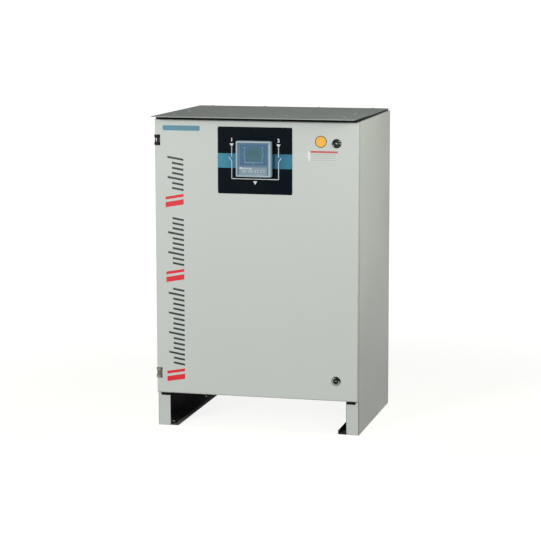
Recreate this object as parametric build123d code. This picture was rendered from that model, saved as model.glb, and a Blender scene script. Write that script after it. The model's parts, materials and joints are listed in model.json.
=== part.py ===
from build123d import *
import os
from math import acos, asin, cos, degrees, pi, radians, sin, sqrt, tan

# Automatic transfer switch: a floor-standing cabinet of folded steel sheet on two side legs, with a
# raised roof plate, a hinged door that carries the controller, and a motor-driven changeover switch
# on a mounting plate inside.
# Millimetres. +X is to the right seen from the front, +Y to the back, +Z up. The origin is on the
# floor, midway between the four anchor holes in the feet.

os.makedirs("parts", exist_ok=True)

# ---- Clearances
seat_gap = 0.3          # between a piece and the one it fits into
running_gap = 0.05      # radial, between a pin or shaft and its bore

# ---- Cabinet body
cabinet_width = 600.0
cabinet_height = 900.0  # floor to the top panel
cabinet_depth = 450.0   # front flange to rear flange
leg_height = 100.0      # open space under the floor pan
wall = 2.0              # folded sheet
bend = 3.0              # outer radius of a fold
front_flange = 38.0     # folded front edge of each side, the face of the leg below the door
frame_flange = 38.0     # front edge of the top panel and of the floor pan
frame_lip = 12.0        # return round the door opening, which the lock cams catch behind
rear_flange = 25.0
rear_fold = 18.0        # fold of the top panel and of the floor pan against the back panel
foot_width = 61.5
foot_lip = 12.0
anchor_hole = 12.0
anchor_from_side = 31.0
anchor_from_end = 50.0
wall_hole = 9.0
wall_hole_spacing_x = 500.0
wall_hole_spacing_z = 650.0

# ---- Roof plate
roof_sheet = 2.0
roof_gap = 4.0          # under the rear edge
roof_fall = 5.0         # from the front edge to the rear edge, so that water runs off behind
roof_inset = 4.5        # from each side of the cabinet
roof_front = 62.0       # overhang in front of the flange
roof_rear = 1.5         # short of the rear flange
roof_corner = 3.0
roof_screw_from_side = 50.0
roof_screw_from_end = 20.0
roof_screw_side_y = -50.0
roof_screw_r = 3.0
roof_screw_head_r = 5.5
roof_screw_head = 2.4
roof_screw_reach = 12.0
roof_spacer_r = 9.0

# ---- Cable entry
gland_opening_x = 380.0
gland_opening_y = 130.0
gland_centre_y = 95.0
gland_plate_margin = 20.0
gland_plate_sheet = 2.0
gland_count = 3
gland_pitch = 120.0
gland_thread_r = 20.0
gland_bore_r = 14.0
gland_nut_across = 48.0
gland_nut = 6.0
gland_dome_r = 22.0
gland_dome = 22.0

# ---- Door
door_below_top = 1.0    # door edge to the top panel
door_above_floor = 0.8
door_side_inset = 1.5   # door edge to the side of the cabinet
door_gap = 2.5          # door to flange
door_thickness = 13.5
door_sheet = 2.0
door_bend = 3.5         # outer radius round the front of the door
door_lip = 14.0
hardware_inset = 59.0   # hinge and lock centres from the door's top and bottom edges
gasket_width = 6.0
gasket_inset = 2.0
stiffener_width = 25.0
stiffener_depth = 15.0
stiffener_left = 75.0   # centre from the left side of the cabinet
stiffener_right = 130.0
stiffener_margin = 55.0
stiffener_hole = 9.0
stiffener_pitch = 60.0

# ---- Hinges
hinge_height = 29.6
hinge_ear = 8.0
hinge_ear_r = 8.5
hinge_pin_from_side = 8.0
hinge_pin_from_face = 5.0
hinge_pin_r = 2.5
hinge_knuckle_r = 7.0
hinge_web = 3.0
hinge_leaf = 2.5
hinge_notch = 18.5      # end of the door notch, from the side of the cabinet
hinge_notch_gap = 0.8

# ---- Locks
lock_from_side = 64.0
lock_flange_r = 13.0
lock_flange = 3.0
lock_body_r = 10.0
lock_bore_r = 8.0
lock_recess_r = 6.0
lock_recess = 7.0
lock_key_pin_r = 2.2
lock_key_wing = 9.6
lock_key_wing_width = 2.4
lock_nut_across = 27.0
lock_nut = 5.0
cam_length = 36.0
cam_width = 14.0
cam_thickness = 3.0
cam_gap = 0.6           # cam to the frame lip
cam_square = 8.0
cam_screw_across = 13.0

# ---- Fascia plate and controller on the door
fascia_width = 218.0
fascia_height = 191.0
fascia_sheet = 1.0
fascia_corner = 4.0
fascia_from_top = 17.0
fascia_offset_x = -1.2
window_size = 101.5
window_rise = 6.0       # window centre above the fascia centre
window_depth = 20.0
window_rail = 4.5
window_corner = 2.5
cover_thickness = 2.5
cover_pin_r = 0.8
cover_pin = 2.5
cover_grip = 24.0
controller_step = 2.5   # face of the controller behind the cover
controller_side = 2.0   # housing narrower than the bezel, each side
controller_depth = 66.0 # housing behind the door's face
screen_width = 80.0
screen_height = 60.0
screen_rise = 12.0
screen_thickness = 0.6
key_count = 4
key_width = 12.0
key_height = 9.0
key_pitch = 18.0
key_drop = 34.0         # key row below the window centre
key_stand = 1.2
key_travel = 0.8
key_depth = 2.7

# ---- Mounting plate
plate_width = 490.0
plate_margin_z = 30.0   # from the floor pan and from the top panel
plate_sheet = 2.0
plate_standoff = 30.0   # from the back panel
plate_stud_inset = 15.0
plate_stud_r = 4.0
plate_spacer_r = 8.0
plate_nut_across = 13.0
plate_nut = 6.0
plate_hem = 12.0

# ---- Changeover switch: two stacked contact units and a drive unit beside them
switch_left = -160.0
switch_z = 430.0
pole_count = 4
pole_pitch = 50.0
pole_wall = 4.0
case_height = 180.0
case_depth = 85.0
case_back = 8.0
chamber_height = 120.0
barrier_reach = 22.0
barrier_depth = 50.0
bar_height = 14.0       # contact carriage bar
bar_depth = 10.0
bar_gap = 0.5
blade_width = 8.0
blade_thickness = 3.0
blade_length = 80.0
blade_gap = 0.2
jaw_width = 9.0
jaw_finger = 2.5
jaw_reach = 20.0        # overlap of blade and jaw
jaw_depth = 4.0         # slot beyond the blade's end
tab_width = 22.0
tab_thickness = 4.0
tab_reach = 38.0        # beyond the case
tab_hole = 11.0
tab_hole_from_end = 14.0
bridge_drop = 20.0      # below the tab ends
lug_drop = 32.0         # below the bridge
bridge_bolt_across = 16.0
bridge_bolt_head = 5.0
switch_cover = 4.0
switch_cover_wall = 1.6
# Operating gear
gear_module = 1.25
rack_pinion_teeth = 16
drive_gear_teeth = 36
motor_pinion_teeth = 12
gear_backlash = 0.25
gear_width = 8.0
rack_pinion_width = 9.0
shaft_r = 4.0
shaft_hub_r = 7.0
socket_size = 7.0
socket_depth = 10.0
drive_width = 80.0
drive_wall = 3.0
drive_back = 6.0
motor_r = 16.0
motor_shaft_r = 2.5
motor_shaft = 12.0
dial_r = 21.0
dial_thickness = 1.6
dial_gap = 1.0
dial_window_width = 11.0
dial_window_height = 8.0
dial_window_rise = 15.5
drive_shaft_turn = 90.0 # from 0 to either source, degrees
shutter_width = 24.0
shutter_height = 22.0
shutter_thickness = 2.5
shutter_travel = 24.0
shutter_rail = 3.0
shutter_rail_hook = 2.0
shutter_gap = 0.3

# ---- Manual handle, kept in two clips on the mounting plate
handle_x = 192.0
handle_z = 430.0
handle_grip = 110.0
handle_grip_r = 9.0
handle_shank_r = 5.0
handle_shank = 60.0
clip_width = 16.0
clip_wall = 3.0
clip_standoff = 6.0
clip_spacing = 70.0

# ---- Control devices on a rail
rail_z = 700.0
rail_length = 380.0
rail_width = 35.0
rail_crown = 25.0
rail_height = 7.5
rail_sheet = 1.0
fuse_x = -165.0
fuse_pitch = 18.5
fuse_width = 18.0
fuse_height = 80.0
fuse_depth = 58.0
fuse_nose = 10.0
fuse_nose_height = 50.0
lever_width = 14.0
lever_height = 44.0
lever_depth = 22.0
lever_gap = 0.5
lever_pin_r = 1.5
lever_pivot = 4.0
terminal_x = -95.0
terminal_count = 10
terminal_pitch = 8.0
terminal_thickness = 7.6
terminal_height = 48.0
terminal_depth = 42.0
terminal_funnel = 5.0

# ---- Wiring ducts and earth bar
duct_length = 460.0
duct_height = 40.0
duct_depth = 60.0
duct_wall = 2.0
duct_above_rail = 100.0
duct_below_rail = 105.0
duct_slot = 6.0
duct_slot_pitch = 23.0
earth_bar_length = 300.0
earth_bar_height = 20.0
earth_bar_thickness = 5.0
earth_bar_standoff = 20.0
earth_bar_z = 190.0
earth_bar_hole = 8.5
earth_bar_holes = 8
earth_bar_pitch = 30.0

# ---- Shared positions worked out from the sizes above
half_width = cabinet_width / 2
half_depth = cabinet_depth / 2
side_inner = half_width - wall
opening_x = half_width - front_flange
opening_top = cabinet_height - frame_flange
opening_bottom = leg_height + frame_flange
back_front_face = half_depth - 2 * wall
door_back = -half_depth - door_gap
door_front = door_back - door_thickness
door_inner = door_front + door_sheet
door_bottom = leg_height + door_above_floor
door_top = cabinet_height - door_below_top
door_middle = (door_bottom + door_top) / 2
door_half = half_width - door_side_inset
roof_back = half_depth - roof_rear
roof_depth = half_depth + roof_front + roof_back
roof_slope = asin(roof_fall / roof_depth)
hardware_heights = {"upper": door_top - hardware_inset, "lower": door_bottom + hardware_inset}
pin_x = -half_width + hinge_pin_from_side
pin_y = door_front + hinge_pin_from_face
lock_x = half_width - lock_from_side
cam_front = -half_depth + frame_lip + cam_gap
fascia_x = fascia_offset_x
fascia_z = door_top - fascia_from_top - fascia_height / 2
fascia_front = door_front - fascia_sheet
window_x = fascia_x
window_z = fascia_z + window_rise
window_front = fascia_front - window_depth
window_inner = window_size - 2 * window_rail
controller_front = window_front + cover_thickness + controller_step
controller_size = window_inner - 2 * seat_gap
housing_size = controller_size - 2 * controller_side
plate_rear = back_front_face - plate_standoff
plate_front = plate_rear - plate_sheet
rear_unit_front = plate_front - case_depth
front_unit_front = rear_unit_front - case_depth
switch_width = pole_count * pole_pitch
switch_right = switch_left + switch_width
pole_xs = [switch_left + pole_pitch * (i + 0.5) for i in range(pole_count)]
chamber_depth = case_depth - case_back
unit_axis_depth = chamber_depth / 2
front_axis_y = front_unit_front + unit_axis_depth
rear_axis_y = rear_unit_front + unit_axis_depth
rack_pinion_r = gear_module * rack_pinion_teeth / 2
drive_gear_r = gear_module * drive_gear_teeth / 2
motor_pinion_r = gear_module * motor_pinion_teeth / 2
travel = rack_pinion_r * radians(drive_shaft_turn)
addendum = gear_module
dedendum = 1.25 * gear_module
shaft_x = switch_right + drive_width / 2
shaft_z = switch_z - bar_height / 2 - dedendum - rack_pinion_r
motor_z = shaft_z - drive_gear_r - motor_pinion_r
drive_gear_y = rear_unit_front
drive_face = front_unit_front - switch_cover


# ---- Helpers: sketches are drawn in the view they belong to, then given their depth
def front_pad(sketch, y_front, y_back):
    """A front-view sketch (x, z) made solid from y_front to y_back."""
    return extrude(Plane.XZ.offset(-y_back) * sketch, amount=y_back - y_front)


def plan_pad(sketch, z_low, z_high):
    """A plan-view sketch (x, y) made solid from z_low to z_high."""
    return extrude(Plane.XY.offset(z_low) * sketch, amount=z_high - z_low)


def side_pad(sketch, x_low, x_high):
    """A side-view sketch (y, z) made solid from x_low to x_high."""
    return extrude(Plane.YZ.offset(x_low) * sketch, amount=x_high - x_low)


def span(a0, a1, b0, b1):
    """A rectangle between two corners of a view."""
    return Pos((a0 + a1) / 2, (b0 + b1) / 2) * Rectangle(a1 - a0, b1 - b0)


def folded(points, thickness, outer_radius):
    """Section of a folded strip: its outer line runs through the points, with the strip on its left."""
    line = FilletPolyline(*points, radius=outer_radius)
    return make_face(offset(line, amount=thickness, side=Side.LEFT).edges())


def hexagon(across_flats):
    return RegularPolygon(across_flats / 2, 6, major_radius=False)


def front_disc(x, z, radius, y_front, y_back):
    """A round bar along Y."""
    return front_pad(Pos(x, z) * Circle(radius), y_front, y_back)


def turned_y(x, z, outline):
    """A turned piece about a Y axis; the outline is (radius, y) points."""
    section = make_face(Polyline(*outline, close=True))
    face = Plane(origin=(x, 0, z), x_dir=(1, 0, 0), z_dir=(0, 0, 1)) * section
    return revolve(face, axis=Axis((x, 0, z), (0, 1, 0)))


def write(node, solids):
    """One STEP file per sub-part; a list stays separate solids."""
    shape = Compound(children=list(solids)) if isinstance(solids, (list, tuple)) else solids
    export_step(shape, f"parts/{node}.step")


# ---- Cabinet body
def side_panel():
    """Left side: one sheet with its front flange, rear flange and the lip beside the door opening."""
    section = folded(
        [
            (-half_width + rear_flange, half_depth),
            (-half_width, half_depth),
            (-half_width, -half_depth),
            (-opening_x, -half_depth),
            (-opening_x, -half_depth + frame_lip),
        ],
        wall,
        bend,
    )
    lip_zone = span(-opening_x - bend, -opening_x + 1, -half_depth + bend, -half_depth + frame_lip + 1)
    panel = plan_pad(section, 0, cabinet_height)
    panel -= plan_pad(lip_zone, -1, opening_bottom)
    panel -= plan_pad(lip_zone, opening_top, cabinet_height + 1)
    return panel


def foot_rail():
    """Angle along the bottom of the left side, with two anchor holes."""
    inner_x = -half_width + foot_width
    section = folded([(-side_inner, 0), (inner_x, 0), (inner_x, foot_lip)], wall, bend)
    rail = front_pad(section, -half_depth + bend, half_depth - bend)
    anchor_x = -half_width + anchor_from_side
    anchor_y = half_depth - anchor_from_end
    for y in (-anchor_y, anchor_y):
        rail -= plan_pad(Pos(anchor_x, y) * Circle(anchor_hole / 2), -1, wall + 1)
    return rail


def back_panel():
    half = half_width - bend - seat_gap
    sheet = span(-half, half, leg_height, cabinet_height)
    middle = (leg_height + cabinet_height) / 2
    holes = GridLocations(wall_hole_spacing_x, wall_hole_spacing_z, 2, 2)
    sheet -= [Pos(0, middle) * spot * Circle(wall_hole / 2) for spot in holes]
    return front_pad(sheet, back_front_face, half_depth - wall)


def corner_notches(z_low, z_high):
    """Room for the side flanges at the front corners of the top panel and of the floor pan."""
    inner = opening_x - seat_gap
    outer = half_width + 1
    y_back = -half_depth + bend
    left = span(-outer, -inner, -half_depth - 1, y_back)
    right = span(inner, outer, -half_depth - 1, y_back)
    return plan_pad(left + right, z_low, z_high)


def corner_trim():
    """Room for the side lips where the lips of the four frame edges meet."""
    inner = opening_x - seat_gap
    y_back = -half_depth + frame_lip + 1
    return span(-half_width, -inner, -half_depth, y_back) + span(inner, half_width, -half_depth, y_back)


def roof_spots():
    """Plan positions of the roof screws: two rows of four and one at each side."""
    outer_x = half_width - roof_screw_from_side
    row_y = half_depth - roof_screw_from_end
    rows = [(x, y) for y in (-row_y, row_y) for x in (-outer_x, -outer_x / 3, outer_x / 3, outer_x)]
    return rows + [(-outer_x, roof_screw_side_y), (outer_x, roof_screw_side_y)]


def roof_holes():
    return Sketch() + [Pos(x, y) * Circle(roof_screw_r + seat_gap) for x, y in roof_spots()]


def top_panel():
    section = folded(
        [
            (back_front_face, cabinet_height - rear_fold),
            (back_front_face, cabinet_height),
            (-half_depth, cabinet_height),
            (-half_depth, opening_top),
            (-half_depth + frame_lip, opening_top),
        ],
        wall,
        bend,
    )
    panel = side_pad(section, -side_inner + seat_gap, side_inner - seat_gap)
    panel -= corner_notches(opening_top - 1, cabinet_height + 1)
    panel -= plan_pad(corner_trim(), opening_top - 1, cabinet_height - bend)
    return panel - plan_pad(roof_holes(), cabinet_height - wall - 1, cabinet_height + 1)


def floor_pan():
    section = folded(
        [
            (-half_depth + frame_lip, opening_bottom),
            (-half_depth, opening_bottom),
            (-half_depth, leg_height),
            (back_front_face, leg_height),
            (back_front_face, leg_height + rear_fold),
        ],
        wall,
        bend,
    )
    pan = side_pad(section, -side_inner + seat_gap, side_inner - seat_gap)
    pan -= corner_notches(leg_height - 1, opening_bottom + 1)
    pan -= plan_pad(corner_trim(), leg_height + bend, opening_bottom + 1)
    opening = Pos(0, gland_centre_y) * RectangleRounded(gland_opening_x, gland_opening_y, 5)
    return pan - plan_pad(opening, leg_height - 1, leg_height + wall + 1)


def gland_spots():
    return [(gland_pitch * (i - (gland_count - 1) / 2), gland_centre_y) for i in range(gland_count)]


def gland_plate():
    size_x = gland_opening_x + 2 * gland_plate_margin
    size_y = gland_opening_y + 2 * gland_plate_margin
    plate = Pos(0, gland_centre_y) * RectangleRounded(size_x, size_y, 5)
    plate -= [Pos(x, y) * Circle(gland_thread_r + seat_gap) for x, y in gland_spots()]
    return plan_pad(plate, leg_height - gland_plate_sheet, leg_height)


def cable_gland(x, y):
    """Gland body below the plate with its clamping dome, and the lock nut above: two solids."""
    plate_low = leg_height - gland_plate_sheet
    nut_top = leg_height + gland_nut
    dome_low = plate_low - gland_nut - gland_dome
    ring = Pos(x, y) * Circle(gland_bore_r)
    body = plan_pad(Pos(x, y) * hexagon(gland_nut_across), plate_low - gland_nut, plate_low)
    body += plan_pad(Pos(x, y) * Circle(gland_thread_r), plate_low, nut_top + gland_nut / 2)
    dome = plan_pad(Pos(x, y) * Circle(gland_dome_r), dome_low, plate_low - gland_nut)
    body += chamfer(dome.edges().group_by(Axis.Z)[0], gland_dome / 4)
    body -= plan_pad(ring, dome_low - 1, nut_top + gland_nut)
    nut = hexagon(gland_nut_across) - Circle(gland_thread_r + seat_gap)
    return [body, plan_pad(Pos(x, y) * nut, leg_height, nut_top)]


def on_roof_slope(solid):
    """Tilt a solid that was made level about the lower rear edge of the roof plate."""
    hinge_line = Pos(0, roof_back, cabinet_height + roof_gap)
    return hinge_line * Rot(-degrees(roof_slope), 0, 0) * hinge_line.inverse() * solid


def roof_plate():
    width = cabinet_width - 2 * roof_inset
    sheet = Pos(0, roof_back - roof_depth / 2) * RectangleRounded(width, roof_depth, roof_corner)
    z_low = cabinet_height + roof_gap
    return on_roof_slope(plan_pad(sheet - roof_holes(), z_low, z_low + roof_sheet))


def roof_spacer(x, y):
    """Ring cut to the slope of the plate that rests on it."""
    ring = Pos(x, y) * (Circle(roof_spacer_r) - Circle(roof_screw_r + seat_gap))
    tall = plan_pad(ring, cabinet_height, cabinet_height + roof_gap + roof_fall)
    above = Pos(x, y) * Rectangle(4 * roof_spacer_r, 4 * roof_spacer_r)
    z_under = cabinet_height + roof_gap
    return tall - on_roof_slope(plan_pad(above, z_under, z_under + 2 * roof_fall))


def roof_screw(x, y):
    z_roof = cabinet_height + roof_gap + roof_sheet
    z_end = cabinet_height - roof_screw_reach - (roof_back - y) * tan(roof_slope)
    shank = plan_pad(Pos(x, y) * Circle(roof_screw_r), z_end, z_roof)
    head = plan_pad(Pos(x, y) * Circle(roof_screw_head_r), z_roof, z_roof + roof_screw_head)
    head = chamfer(head.edges().group_by(Axis.Z)[-1], roof_screw_head / 3)
    return on_roof_slope(shank + head)


# ---- Door
def door_panel():
    """Tray of folded sheet: skin, returns and a rear lip, with notches for the hinges."""
    height = door_top - door_bottom
    tray = front_pad(Pos(0, door_middle) * Rectangle(2 * door_half, height), door_front, door_back)
    tray = fillet(tray.faces().sort_by(Axis.Y)[0].edges(), door_bend)
    tray = fillet(tray.faces().sort_by(Axis.Y)[-1].edges(), bend)
    inner_half = door_half - door_sheet
    hollow_outline = Pos(0, door_middle) * Rectangle(2 * inner_half, height - 2 * door_sheet)
    hollow = front_pad(hollow_outline, door_inner, door_back - door_sheet)
    tray -= fillet(hollow.faces().sort_by(Axis.Y)[0].edges(), door_bend - door_sheet)
    rear_outline = Pos(0, door_middle) * Rectangle(2 * (door_half - door_lip), height - 2 * door_lip)
    tray -= front_pad(rear_outline, door_back - 2 * door_sheet, door_back + 1)
    for z in hardware_heights.values():
        notch_half = hinge_height / 2 + hinge_notch_gap
        notch = span(-door_half - 1, -half_width + hinge_notch, z - notch_half, z + notch_half)
        tray -= front_pad(notch, door_front - 1, door_back + 1)
        tray -= front_disc(lock_x, z, lock_body_r + seat_gap, door_front - 1, door_inner + 1)
    cutout = Pos(window_x, window_z) * Rectangle(housing_size + 2 * seat_gap, housing_size + 2 * seat_gap)
    return tray - front_pad(cutout, door_front - 1, door_inner + 1)


def door_gasket():
    """Foam ring on the inside of the skin that meets the frame flanges."""
    middle = (opening_bottom + opening_top) / 2
    inner_x = opening_x + gasket_inset
    inner_z = (opening_top - opening_bottom) / 2 + gasket_inset
    ring = Rectangle(2 * (inner_x + gasket_width), 2 * (inner_z + gasket_width))
    ring -= Rectangle(2 * inner_x, 2 * inner_z)
    return front_pad(Pos(0, middle) * ring, door_inner, -half_depth - seat_gap)


def door_stiffener(x):
    """Open channel behind the skin, with a row of holes for cable ties and fixings."""
    y_back = door_inner + stiffener_depth
    half = stiffener_width / 2
    section = folded(
        [(x + half, door_inner), (x + half, y_back), (x - half, y_back), (x - half, door_inner)],
        door_sheet,
        bend,
    )
    z_low = opening_bottom + stiffener_margin - frame_flange
    z_high = opening_top - stiffener_margin + frame_flange
    channel = plan_pad(section, z_low, z_high)
    holes = int((z_high - z_low - stiffener_pitch) // stiffener_pitch)
    for i in range(holes + 1):
        z = (z_low + z_high) / 2 + (i - holes / 2) * stiffener_pitch
        channel -= front_disc(x, z, stiffener_hole / 2, y_back - door_sheet - 1, y_back + 1)
    return channel


# ---- Hinges
def hinge_bracket(z):
    """Fixed half: two rounded ears about the pin, joined by a web on the flange."""
    outline = Pos(pin_x, pin_y) * Circle(hinge_ear_r)
    outline += span(pin_x - hinge_ear_r, pin_x + hinge_ear_r, pin_y, -half_depth)
    bore = Pos(pin_x, pin_y) * Circle(hinge_pin_r + running_gap)
    half = hinge_height / 2
    ears = plan_pad(outline - bore, z - half, z - half + hinge_ear)
    ears += plan_pad(outline - bore, z + half - hinge_ear, z + half)
    web = span(pin_x - hinge_ear_r, pin_x + hinge_ear_r, -half_depth - hinge_web, -half_depth)
    return ears + plan_pad(web, z - half, z + half)


def hinge_leaf_on_door(z):
    """Moving half: a knuckle between the ears and a leaf behind the door skin."""
    half = hinge_height / 2 - hinge_ear - seat_gap
    leaf_end = -opening_x - gasket_inset - gasket_width - seat_gap
    outline = Pos(pin_x, pin_y) * Circle(hinge_knuckle_r)
    outline += span(pin_x, leaf_end, door_inner, door_inner + hinge_leaf)
    outline -= Pos(pin_x, pin_y) * Circle(hinge_pin_r + running_gap)
    return plan_pad(outline, z - half, z + half)


def hinge_pin(z):
    half = hinge_height / 2 + 0.5
    return plan_pad(Pos(pin_x, pin_y) * Circle(hinge_pin_r), z - half, z + half)


# ---- Locks
def lock_housing(z):
    front = door_front - lock_flange
    rear = cam_front - 2
    outline = [
        (lock_bore_r, front),
        (lock_flange_r - 1, front),
        (lock_flange_r, front + 1),
        (lock_flange_r, door_front),
        (lock_body_r, door_front),
        (lock_body_r, rear),
        (lock_bore_r, rear),
    ]
    return turned_y(lock_x, z, outline)


def lock_nut_ring(z):
    ring = Pos(lock_x, z) * (hexagon(lock_nut_across) - Circle(lock_body_r + seat_gap))
    return front_pad(ring, door_inner, door_inner + lock_nut)


def lock_barrel(z):
    """Turning insert with a double-bit key pin in its recess and a square end for the cam."""
    front = door_front - lock_flange + 1
    radius = lock_bore_r - running_gap
    cam_back = cam_front + cam_thickness
    barrel = front_disc(lock_x, z, radius, front, cam_front)
    key_pin = Circle(lock_key_pin_r) + Rectangle(lock_key_wing, lock_key_wing_width)
    recess = Pos(lock_x, z) * (Circle(lock_recess_r) - key_pin)
    barrel -= front_pad(recess, front - 1, front + lock_recess)
    barrel += front_pad(Pos(lock_x, z) * Rectangle(cam_square, cam_square), cam_front, cam_back)
    cam_screw = Pos(lock_x, z) * hexagon(cam_screw_across)
    return barrel + front_pad(cam_screw, cam_back, cam_back + cam_thickness)


def lock_cam(z, direction):
    """Tongue that points along the door edge when open; direction is +1 up or -1 down."""
    arm = Pos(0, direction * cam_length / 2) * Rectangle(cam_width, cam_length)
    tongue = Circle(cam_width / 2 + 2) + arm
    tongue -= Rectangle(cam_square, cam_square)
    return front_pad(Pos(lock_x, z) * tongue, cam_front, cam_front + cam_thickness)


# ---- Fascia and controller
def fascia_plate():
    plate = Pos(fascia_x, fascia_z) * RectangleRounded(fascia_width, fascia_height, fascia_corner)
    cutout = housing_size + 2 * seat_gap
    plate -= Pos(window_x, window_z) * Rectangle(cutout, cutout)
    return front_pad(plate, fascia_front, door_front)


def cover_axis():
    """Plan position of the window cover's hinge line."""
    barrel_r = cover_thickness / 2
    return window_x - window_inner / 2 + seat_gap + barrel_r, window_front + barrel_r


def window_frame():
    ring = RectangleRounded(window_size, window_size, window_corner) - Rectangle(window_inner, window_inner)
    frame = front_pad(Pos(window_x, window_z) * ring, window_front, fascia_front)
    axis_x, axis_y = cover_axis()
    reach = window_inner / 2 + cover_pin
    pin_hole = Pos(axis_x, axis_y) * Circle(cover_pin_r + running_gap)
    frame -= plan_pad(pin_hole, window_z - reach, window_z + reach)
    front_edges = frame.faces().sort_by(Axis.Y)[0].outer_wire().edges()
    return chamfer(front_edges, 1.0)


def window_cover():
    """Clear lid with a rounded hinge edge, two stub pins and a finger grip."""
    axis_x, axis_y = cover_axis()
    half = window_inner / 2 - seat_gap
    right = window_x + half
    barrel_r = cover_thickness / 2
    outline = Pos(axis_x, axis_y) * Circle(barrel_r)
    outline += span(axis_x, right, axis_y - barrel_r, axis_y + barrel_r)
    lid = plan_pad(outline, window_z - half, window_z + half)
    pin = Pos(axis_x, axis_y) * Circle(cover_pin_r)
    pin_half = window_inner / 2 + cover_pin - seat_gap
    lid += plan_pad(pin, window_z - pin_half, window_z + pin_half)
    grip = span(right - 2, right, window_z - cover_grip / 2, window_z + cover_grip / 2)
    return lid + front_pad(grip, window_front - 1.5, window_front + barrel_r)


def key_xs():
    return [window_x + key_pitch * (i - (key_count - 1) / 2) for i in range(key_count)]


def controller_body():
    """Bezel in the window frame, housing through the door, and a pocket for each key."""
    bezel_back = fascia_front
    rear = door_front + controller_depth
    centre = Pos(window_x, window_z)
    body = front_pad(centre * Rectangle(controller_size, controller_size), controller_front, bezel_back)
    body += front_pad(centre * Rectangle(housing_size, housing_size), bezel_back, rear)
    rear_face = body.faces().sort_by(Axis.Y)[-1]
    body = chamfer(rear_face.edges(), 3.0)
    pocket_back = controller_front - key_stand + key_depth + key_travel + seat_gap
    for x in key_xs():
        pocket = Rectangle(key_width + 2 * seat_gap, key_height + 2 * seat_gap)
        body -= front_pad(Pos(x, window_z - key_drop) * pocket, controller_front - 1, pocket_back)
    return body


def controller_screen():
    glass = Pos(window_x, window_z + screen_rise) * RectangleRounded(screen_width, screen_height, 1.5)
    return front_pad(glass, controller_front - screen_thickness, controller_front)


def controller_key(x):
    cap = Pos(x, window_z - key_drop) * RectangleRounded(key_width, key_height, 1.5)
    front = controller_front - key_stand
    return front_pad(cap, front, front + key_depth)


# ---- Mounting plate
def plate_spots():
    x = plate_width / 2 - plate_stud_inset
    low = leg_height + plate_margin_z + plate_stud_inset
    high = cabinet_height - plate_margin_z - plate_stud_inset
    return [(side * x, z) for side in (-1, 1) for z in (low, high)]


def clip_zs():
    return [handle_z - clip_spacing / 2, handle_z + clip_spacing / 2]


def handle_clip(z):
    """Open clip that holds the handle's grip, standing on the mounting plate."""
    inner = handle_grip_r + seat_gap
    outer = inner + clip_wall
    axis_y = plate_front - clip_standoff - outer
    outline = Pos(handle_x, axis_y) * Circle(outer)
    outline += span(handle_x - outer, handle_x + outer, axis_y, plate_front)
    outline -= Pos(handle_x, axis_y) * Circle(inner)
    mouth = inner * 0.8
    outline -= span(handle_x - mouth, handle_x + mouth, axis_y - outer - 1, axis_y)
    return plan_pad(outline, z - clip_width / 2, z + clip_width / 2)


def mounting_plate():
    """Galvanised plate with hemmed long edges, stud holes and the clips for the handle."""
    half = plate_width / 2
    section = folded(
        [
            (half, plate_front - plate_hem + plate_sheet),
            (half, plate_rear),
            (-half, plate_rear),
            (-half, plate_front - plate_hem + plate_sheet),
        ],
        plate_sheet,
        bend,
    )
    plate = plan_pad(section, leg_height + plate_margin_z, cabinet_height - plate_margin_z)
    for x, z in plate_spots():
        plate -= front_disc(x, z, plate_stud_r + seat_gap, plate_front - 1, plate_rear + 1)
    for z in clip_zs():
        plate += handle_clip(z)
    return plate


def plate_stud(x, z):
    """Spacer stud on the back panel and the nut that holds the mounting plate."""
    nut_front = plate_front - plate_nut
    stud = front_disc(x, z, plate_spacer_r, plate_rear, back_front_face)
    stud += front_disc(x, z, plate_stud_r, nut_front - 3, plate_rear)
    nut = Pos(x, z) * (hexagon(plate_nut_across) - Circle(plate_stud_r + seat_gap))
    return [stud, front_pad(nut, nut_front, plate_front)]


# ---- Changeover switch
def carriage_passage(axis_y, x_low, x_high):
    """Way along X for the contact carriage bar."""
    half_y = bar_depth / 2 + bar_gap
    half_z = bar_height / 2 + bar_gap
    way = span(axis_y - half_y, axis_y + half_y, switch_z - half_z, switch_z + half_z)
    return side_pad(way, x_low, x_high)


def switch_case(unit_front):
    """One contact unit: a moulding with a chamber for each pole and barrier walls between terminals."""
    unit_back = unit_front + case_depth
    axis_y = unit_front + unit_axis_depth
    centre_x = (switch_left + switch_right) / 2
    case = front_pad(Pos(centre_x, switch_z) * Rectangle(switch_width, case_height), unit_front, unit_back)
    barriers = Sketch()
    barrier_height = case_height + 2 * barrier_reach
    for i in range(pole_count + 1):
        x = switch_left + pole_pitch * i
        x_low = max(x - pole_wall / 2, switch_left)
        x_high = min(x + pole_wall / 2, switch_right)
        barriers += span(x_low, x_high, switch_z - barrier_height / 2, switch_z + barrier_height / 2)
    case += front_pad(barriers, axis_y - barrier_depth / 2, axis_y + barrier_depth / 2)
    slot_half_x = tab_width / 2 + seat_gap
    slot_half_y = tab_thickness / 2 + seat_gap
    for x in pole_xs:
        chamber = Pos(x, switch_z) * Rectangle(pole_pitch - pole_wall, chamber_height)
        case -= front_pad(chamber, unit_front - 1, unit_back - case_back)
        slot = span(x - slot_half_x, x + slot_half_x, axis_y - slot_half_y, axis_y + slot_half_y)
        case -= plan_pad(slot, switch_z - case_height, switch_z + case_height)
    passage = carriage_passage(axis_y, pole_xs[0], switch_right + 1)
    return case - passage


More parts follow.
